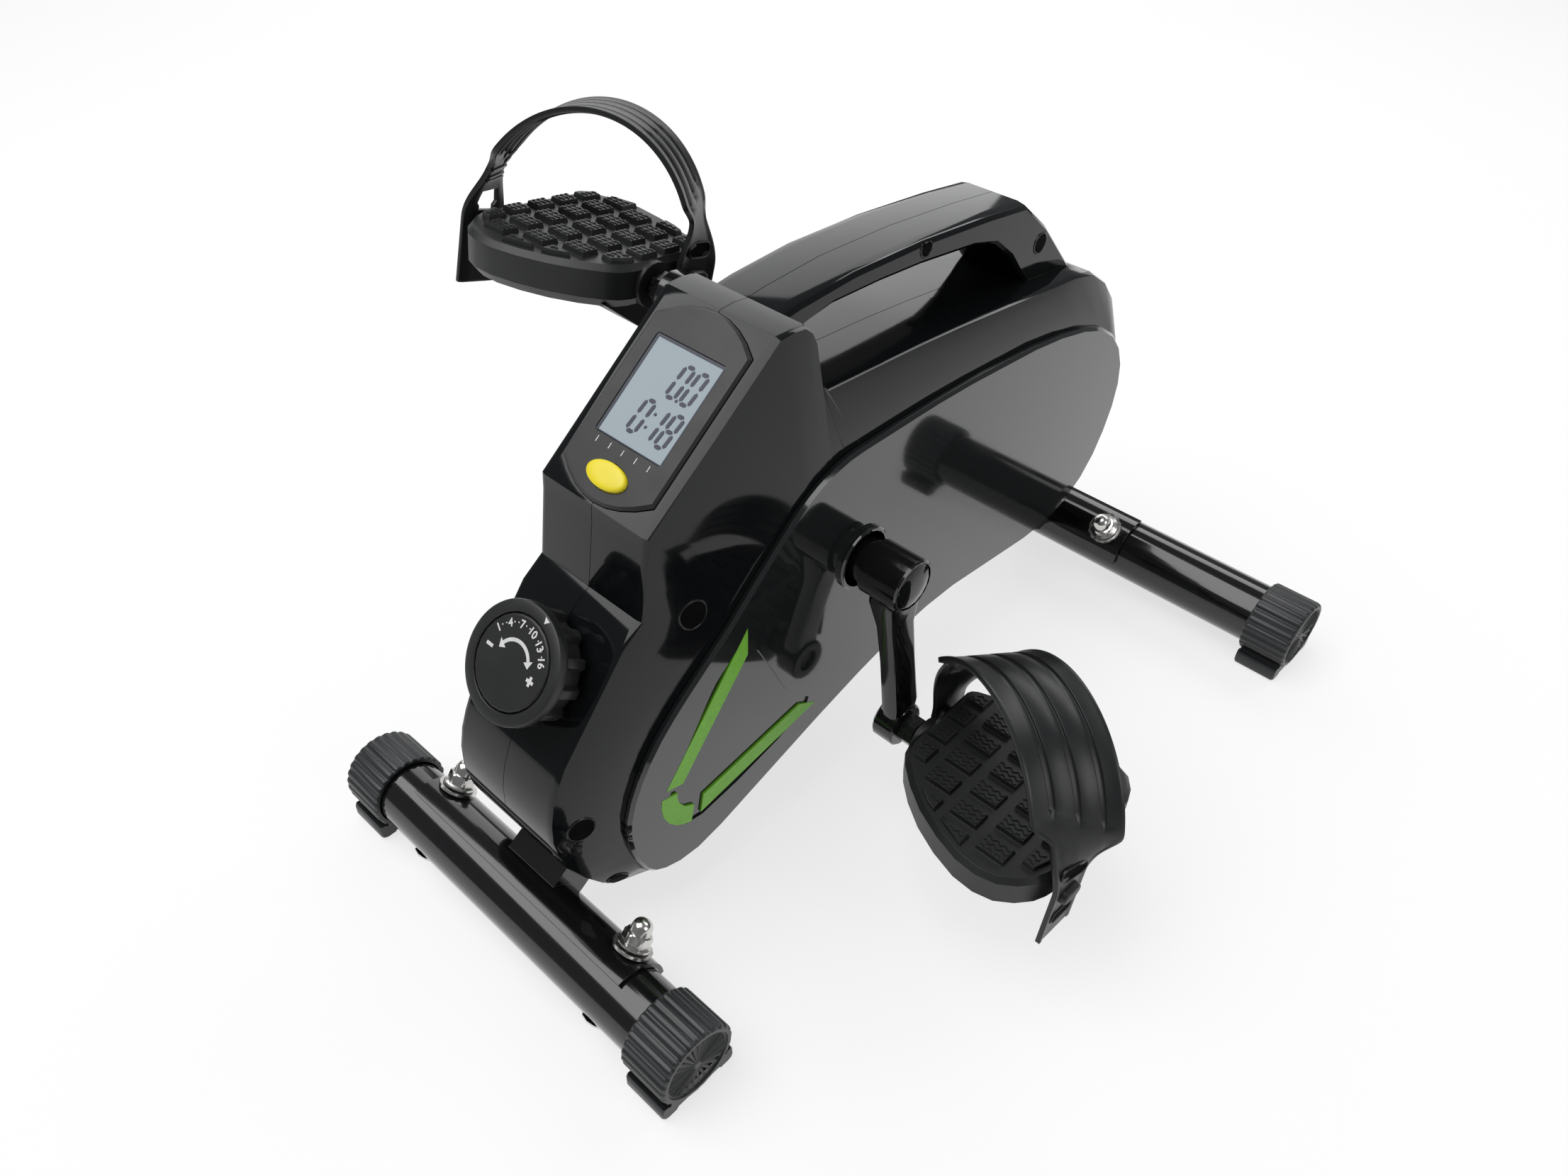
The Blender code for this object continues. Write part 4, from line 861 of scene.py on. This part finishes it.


# Display: painted shadow along the window's edge, digits, key and ticks

LCD_START = 28.0
LCD_LENGTH = 49.0
LCD_HALF = 20.5
LENS_TOP = 1.2
BEZEL_TOP = 1.6
slope_up = (0, math.cos(CONSOLE_SLOPE), math.sin(CONSOLE_SLOPE))
lcd_plane = plane_of(console_point(LCD_START, LENS_TOP), (1, 0, 0), slope_up)
bezel_plane = plane_of(console_point(0, BEZEL_TOP), (1, 0, 0), slope_up)
SEGMENTS = {"0": "abcdef", "1": "bc", "8": "abcdefg"}
SLANT = 0.10
DIGIT_W = 5.0
DIGIT_T = 1.9
# Rows of digits: height of the foot, height of the digits, and each digit with its place
DIGIT_ROWS = ((26.8, 15.0, (("0", 1.4), ("0", 9.6))), (6.6, 15.4, (("0", -6.4), ("1", 2.4), ("8", 10.8))))
DIGIT_DOTS = ((8.2, 26.8), (2.2, 11.2), (2.9, 17.8))
DIGIT_DOT_R = 0.8
# Painted shadow along the window's edge, wider at the left and top where the bezel shades it: distance in
# from the window's edge, and widths at the left, top, right and foot
BORDER_IN = 0.3
BORDER_W = (1.6, 1.4, 0.5, 0.5)
BORDER_LIFT = 0.08
TICKS = (-16, -8, 0, 8, 16)
TICK_HALF = 0.2
TICK_SPAN = (23.6, 26.4)


def seven_segment(digit, x, y, h):
    """Segment outlines of one slanted digit whose lower left corner is x, y."""
    w = DIGIT_W
    t = DIGIT_T
    half = h / 2
    runs = {
        "a": ((0, h), (w, h)), "g": ((0, half), (w, half)), "d": ((0, 0), (w, 0)), "f": ((0, half), (0, h)),
        "b": ((w, half), (w, h)), "e": ((0, 0), (0, half)), "c": ((w, 0), (w, half)),
    }
    shapes = []
    for letter in SEGMENTS[digit]:
        (x0, y0), (x1, y1) = runs[letter]
        run = Vector((x1 - x0, y1 - y0))
        step = run.normalized()
        across = Vector((-step.y, step.x)) * t / 2
        joint = step * t * 0.25
        taper = step * t * 0.5
        first = Vector((x0, y0)) + joint
        last = Vector((x1, y1)) - joint
        points = [first, first + taper + across, last - taper + across, last, last - taper - across,
                  first + taper - across]
        shapes.append([(x + p.x + SLANT * p.y, y + p.y) for p in points])
    return shapes


def dot(x, y, r):
    """Outline of a round dot."""
    return [(x + r * math.cos(math.pi * i / 4), y + r * math.sin(math.pi * i / 4)) for i in range(8)]


def bar(x0, x1, y0, y1):
    """Outline of an upright rectangle."""
    return [(x0, y0), (x1, y0), (x1, y1), (x0, y1)]


digits = [dot(x, y, DIGIT_DOT_R) for x, y in DIGIT_DOTS]
for foot, height, row in DIGIT_ROWS:
    for digit, x in row:
        digits += seven_segment(digit, x, foot, height)
mark("display_digits", digits, lcd_plane, LCD_INK_AND_SHADOW, "base")
edge = LCD_HALF - BORDER_IN
top = LCD_LENGTH - BORDER_IN
left_w, top_w, right_w, foot_w = BORDER_W
# Near-black band inside the window as the painted shadow of the bezel
shadow_band = [bar(-edge, -edge + left_w, BORDER_IN, top), bar(-edge + left_w, edge, top - top_w, top),
          bar(edge - right_w, edge, BORDER_IN, top - top_w),
          bar(-edge + left_w, edge - right_w, BORDER_IN, BORDER_IN + foot_w)]
mark("display_painted_shadow", shadow_band, lcd_plane, LCD_INK_AND_SHADOW, "base", BORDER_LIFT)
ticks = [bar(u - TICK_HALF, u + TICK_HALF, *TICK_SPAN) for u in TICKS]
mark("display_ticks", ticks, bezel_plane, INK_WHITE, "base")

# Key: its place on the slope, half sizes, and rows of height and share of its outline
KEY_AT = 13.5
KEY_HALF_X = 11.6
KEY_HALF_S = 6.0
KEY_POINTS = 40
KEY_ROWS = ((-2.0, 1.0), (2.6, 1.0), (3.2, 0.97), (3.6, 0.89), (3.8, 0.74), (3.88, 0.5), (3.9, 0.2))
dome = []
for n, k in KEY_ROWS:
    ring = []
    for i in range(KEY_POINTS):
        t = 2 * math.pi * i / KEY_POINTS
        _, y, z = console_point(KEY_AT + KEY_HALF_S * k * math.sin(t), n)
        ring.append((KEY_HALF_X * k * math.cos(t), y, z))
    dome.append(ring)
bm = bmesh.new()
skin(bm, dome)
key = finish_piece("display_key", bm, MATERIALS["button_yellow"], "button_body", True, MOULDED_CREASE)
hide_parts("console_button")


# Dial marks

dial_plane = plane_of((0, *DIAL), (1, 0, 0), (0, math.sin(DIAL_LEAN), math.cos(DIAL_LEAN)))


def on_circle(radius, degrees):
    """Point clockwise from the top of the dial."""
    t = math.radians(degrees)
    return (radius * math.sin(t), radius * math.cos(t))


def arc_strip():
    """Quads of the arrow's arc."""
    step = (ARROW_STOP - ARROW_START) / ARROW_PIECES
    angles = [ARROW_START + step * i for i in range(ARROW_PIECES + 1)]
    outer = [on_circle(ARROW_R + ARROW_W / 2, angle) for angle in angles]
    inner = [on_circle(ARROW_R - ARROW_W / 2, angle) for angle in angles]
    return [[outer[i], outer[i + 1], inner[i + 1], inner[i]] for i in range(ARROW_PIECES)]


def arrow_head(degrees, toward):
    """Triangle at an end of the arc."""
    tip = on_circle(ARROW_R, degrees + toward * HEAD_LENGTH)
    return [tip, on_circle(ARROW_R + HEAD_HALF, degrees), on_circle(ARROW_R - HEAD_HALF, degrees)]


# Radii in millimetres and angles in degrees
SCALE_R = 21.8
NUMBERS = ("1", "4", "7", "10", "13", "16")
NUMBER_SIZE = 5.2
NUMBER_R = 17.2
MIDDLE_MARK = 2.3
STEP = 23.5
DOT_OUT = 0.4
DOT_R = 0.36
ARROW_R = 10.0
ARROW_W = 1.7
ARROW_START = -58.0
ARROW_STOP = 60.0
ARROW_PIECES = 20
HEAD_LENGTH = 18.0
HEAD_HALF = 2.6
# Minus, and the plus as one bar and two stubs
SIGNS = ((-17.2, -13.0, 0.1, 1.7), (11.7, 16.1, -2.3, -0.8), (13.15, 14.65, -0.8, 0.7),
         (13.15, 14.65, -3.8, -2.3))
POINTER = 18.5
POINTER_HALF = 3.6
POINTER_SPAN = (24.2, 27.0)
POINTER_LIFT = 0.14

middle_step = (len(NUMBERS) - 1) / 2
for i, text in enumerate(NUMBERS):
    angle = MIDDLE_MARK + STEP * (i - middle_step)
    spot = on_circle(NUMBER_R, angle)
    turn = -math.radians(angle)
    figure("dial_number_" + text, text, NUMBER_SIZE, spot, dial_plane, INK_WHITE, "base", turn)
dots = []
for i in range(len(NUMBERS) - 1):
    for third in (1 / 3, 2 / 3):
        angle = MIDDLE_MARK + STEP * (i - middle_step + third)
        dots.append(dot(*on_circle(NUMBER_R + DOT_OUT, angle), DOT_R))
mark("dial_dots", dots, dial_plane, INK_WHITE, "base")
arrow = arc_strip() + [arrow_head(ARROW_START, -1), arrow_head(ARROW_STOP, 1)]
mark("dial_arrow", arrow, dial_plane, INK_WHITE, "base")
mark("dial_signs", [bar(*sign) for sign in SIGNS], dial_plane, INK_WHITE, "base")
pointer = [on_circle(POINTER_SPAN[0], POINTER), on_circle(POINTER_SPAN[1], POINTER + POINTER_HALF),
           on_circle(POINTER_SPAN[1], POINTER - POINTER_HALF)]
mark("dial_pointer", [pointer], dial_plane, INK_WHITE, "knob_body", POINTER_LIFT)


# Knob: a flat front ring and a grip with rounded lobes behind it

KNOB_R = 28.0
KNOB_H = 20.0
KNOB_LOBES = 12
KNOB_POINTS = 240
KNOB_MOUTH = SCALE_R + 0.3
LOBE_EDGE = 0.7
# Rows of the knob: height over the dial's face, radius and how far the lobes stand out
KNOB_ROWS = (
    (-3.0, KNOB_MOUTH, 0.0), (-0.5, KNOB_MOUTH, 0.0), (0.0, KNOB_MOUTH + 0.5, 0.0), (0.0, KNOB_R - 1.3, 0.0),
    (-0.4, KNOB_R - 0.4, 0.0), (-1.4, KNOB_R, 0.0), (-4.8, KNOB_R, 0.0), (-5.6, KNOB_R - 0.5, 0.0),
    (-6.0, KNOB_R - 3.6, 0.4), (-6.2, KNOB_R - 3.8, 2.6), (-7.4, KNOB_R - 3.8, 3.1),
    (-17.2, KNOB_R - 4.2, 3.1), (-19.0, KNOB_R - 5.0, 2.4), (-KNOB_H, KNOB_R - 6.4, 1.0),
    (-KNOB_H, 12.0, 0.0),
)


def knob_ring(n, radius, lobe):
    """Ring of the knob in the part's frame."""
    ring = []
    for i in range(KNOB_POINTS):
        t = 2 * math.pi * i / KNOB_POINTS
        r = radius + lobe * ease(math.cos(KNOB_LOBES * t), 0.0, LOBE_EDGE)
        ring.append(dial_plane @ Vector((r * math.cos(t), r * math.sin(t), n)))
    return ring


bm = bmesh.new()
skin(bm, [knob_ring(*row) for row in KNOB_ROWS], first=False, last=False)
knob = finish_piece("knob_grip", bm, MATERIALS["pedal_black"], "knob_body", True, MOULDED_CREASE)
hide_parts("dial_knob")


# Green inlays in the pockets of the side covers

SHELL_HALF = 43.0
COVER_GAP = 0.3
COVER_T = 3.6
COVER_FACE = SHELL_HALF + COVER_GAP + COVER_T
POCKET_DEPTH = 1.0
INLAY_T = POCKET_DEPTH + LIFT + 0.1
# Outlines in the side view; the hook is the band between its outer and its inner edge
LONG_STRIPE = [(118.2, 141.0), (118.0, 124.5), (72.6, 69.3), (61.9, 72.4)]
LOW_STRIPE = [(168.1, 52.7), (155.3, 60.4), (85.1, 49.3), (82.7, 37.6)]
HOOK_OUT = [(58.7, 68.3), (57.9, 62.9), (58.7, 55.1), (62.1, 47.3), (66.7, 41.8), (71.5, 38.2), (76.3, 36.3)]
HOOK_IN = [(68.7, 65.4), (68.5, 60.6), (69.2, 57.6), (70.2, 55.5), (71.7, 53.0), (73.4, 50.8), (78.8, 47.5)]

hook = [[HOOK_OUT[i], HOOK_OUT[i + 1], HOOK_IN[i + 1], HOOK_IN[i]] for i in range(len(HOOK_OUT) - 1)]
for side, word in SIDES:
    inlay_plane = plane_of((side * COVER_FACE, 0, 0), (0, side, 0), (0, 0, 1))
    stripes = []
    for outline in [LONG_STRIPE, LOW_STRIPE] + hook:
        stripes.append([(side * side_view(*p)[0], side_view(*p)[1]) for p in outline])
    mark("stripes_" + word, stripes, inlay_plane, INK_GREEN, "base", thick=INLAY_T)


# Floor and light

FLOOR_HALF = 6.0
FLOOR_COLOUR = (0.86, 0.86, 0.86, 1)
FLOOR_GLOW = 0.7
WORLD_COLOUR = (0.95, 0.97, 1.0, 1)
WORLD_STRENGTH = 0.18
# Place, target and size in metres, and power in watts
LAMPS = {
    "key": ((-0.6, -0.7, 2.0), (0, 0, 0.1), (2.0, 2.0), 46),
    "back": ((0.1, 1.5, 1.3), (0, 0, 0.2), (1.6, 0.7), 11),
    "window": ((-1.5, 1.2, 1.0), (-0.05, 0, 0.25), (1.8, 1.2), 11),
    "side": ((1.5, 0.1, 0.9), (0, 0, 0.15), (0.8, 0.8), 6),
}


def floor_material():
    """Pale floor that the camera and reflections see as nearly white."""
    material = bpy.data.materials.new("floor")
    material.use_nodes = True
    tree = material.node_tree
    tree.nodes.clear()
    out = tree.nodes.new("ShaderNodeOutputMaterial")
    diffuse = tree.nodes.new("ShaderNodeBsdfDiffuse")
    diffuse.inputs["Color"].default_value = FLOOR_COLOUR
    glow = tree.nodes.new("ShaderNodeEmission")
    glow.inputs["Strength"].default_value = 1.0
    path = tree.nodes.new("ShaderNodeLightPath")
    seen = tree.nodes.new("ShaderNodeMath")
    seen.operation = "MAXIMUM"
    tree.links.new(path.outputs["Is Camera Ray"], seen.inputs[0])
    tree.links.new(path.outputs["Is Glossy Ray"], seen.inputs[1])
    share = tree.nodes.new("ShaderNodeMath")
    share.operation = "MULTIPLY"
    share.inputs[1].default_value = FLOOR_GLOW
    tree.links.new(seen.outputs[0], share.inputs[0])
    mix = tree.nodes.new("ShaderNodeMixShader")
    tree.links.new(share.outputs[0], mix.inputs["Fac"])
    tree.links.new(diffuse.outputs[0], mix.inputs[1])
    tree.links.new(glow.outputs[0], mix.inputs[2])
    tree.links.new(mix.outputs[0], out.inputs["Surface"])
    return material


floor_bm = bmesh.new()
bmesh.ops.create_grid(floor_bm, x_segments=1, y_segments=1, size=FLOOR_HALF)
floor_mesh = bpy.data.meshes.new("floor")
floor_bm.to_mesh(floor_mesh)
floor_bm.free()
floor_mesh.materials.append(floor_material())
floor = bpy.data.objects.new("floor", floor_mesh)
scene.collection.objects.link(floor)

world = bpy.data.worlds.new("studio")
world.use_nodes = True
background = world.node_tree.nodes["Background"]
background.inputs["Color"].default_value = WORLD_COLOUR
background.inputs["Strength"].default_value = WORLD_STRENGTH
scene.world = world


def lamp(name, place, target, size, power):
    """Soft rectangular lamp that looks at its target."""
    data = bpy.data.lights.new(name, "AREA")
    data.shape = "RECTANGLE"
    data.size = size[0]
    data.size_y = size[1]
    data.energy = power
    obj = bpy.data.objects.new(name, data)
    obj.location = place
    obj.rotation_euler = (Vector(target) - Vector(place)).to_track_quat("-Z", "Y").to_euler()
    scene.collection.objects.link(obj)


for name, setting in LAMPS.items():
    lamp(name, *setting)
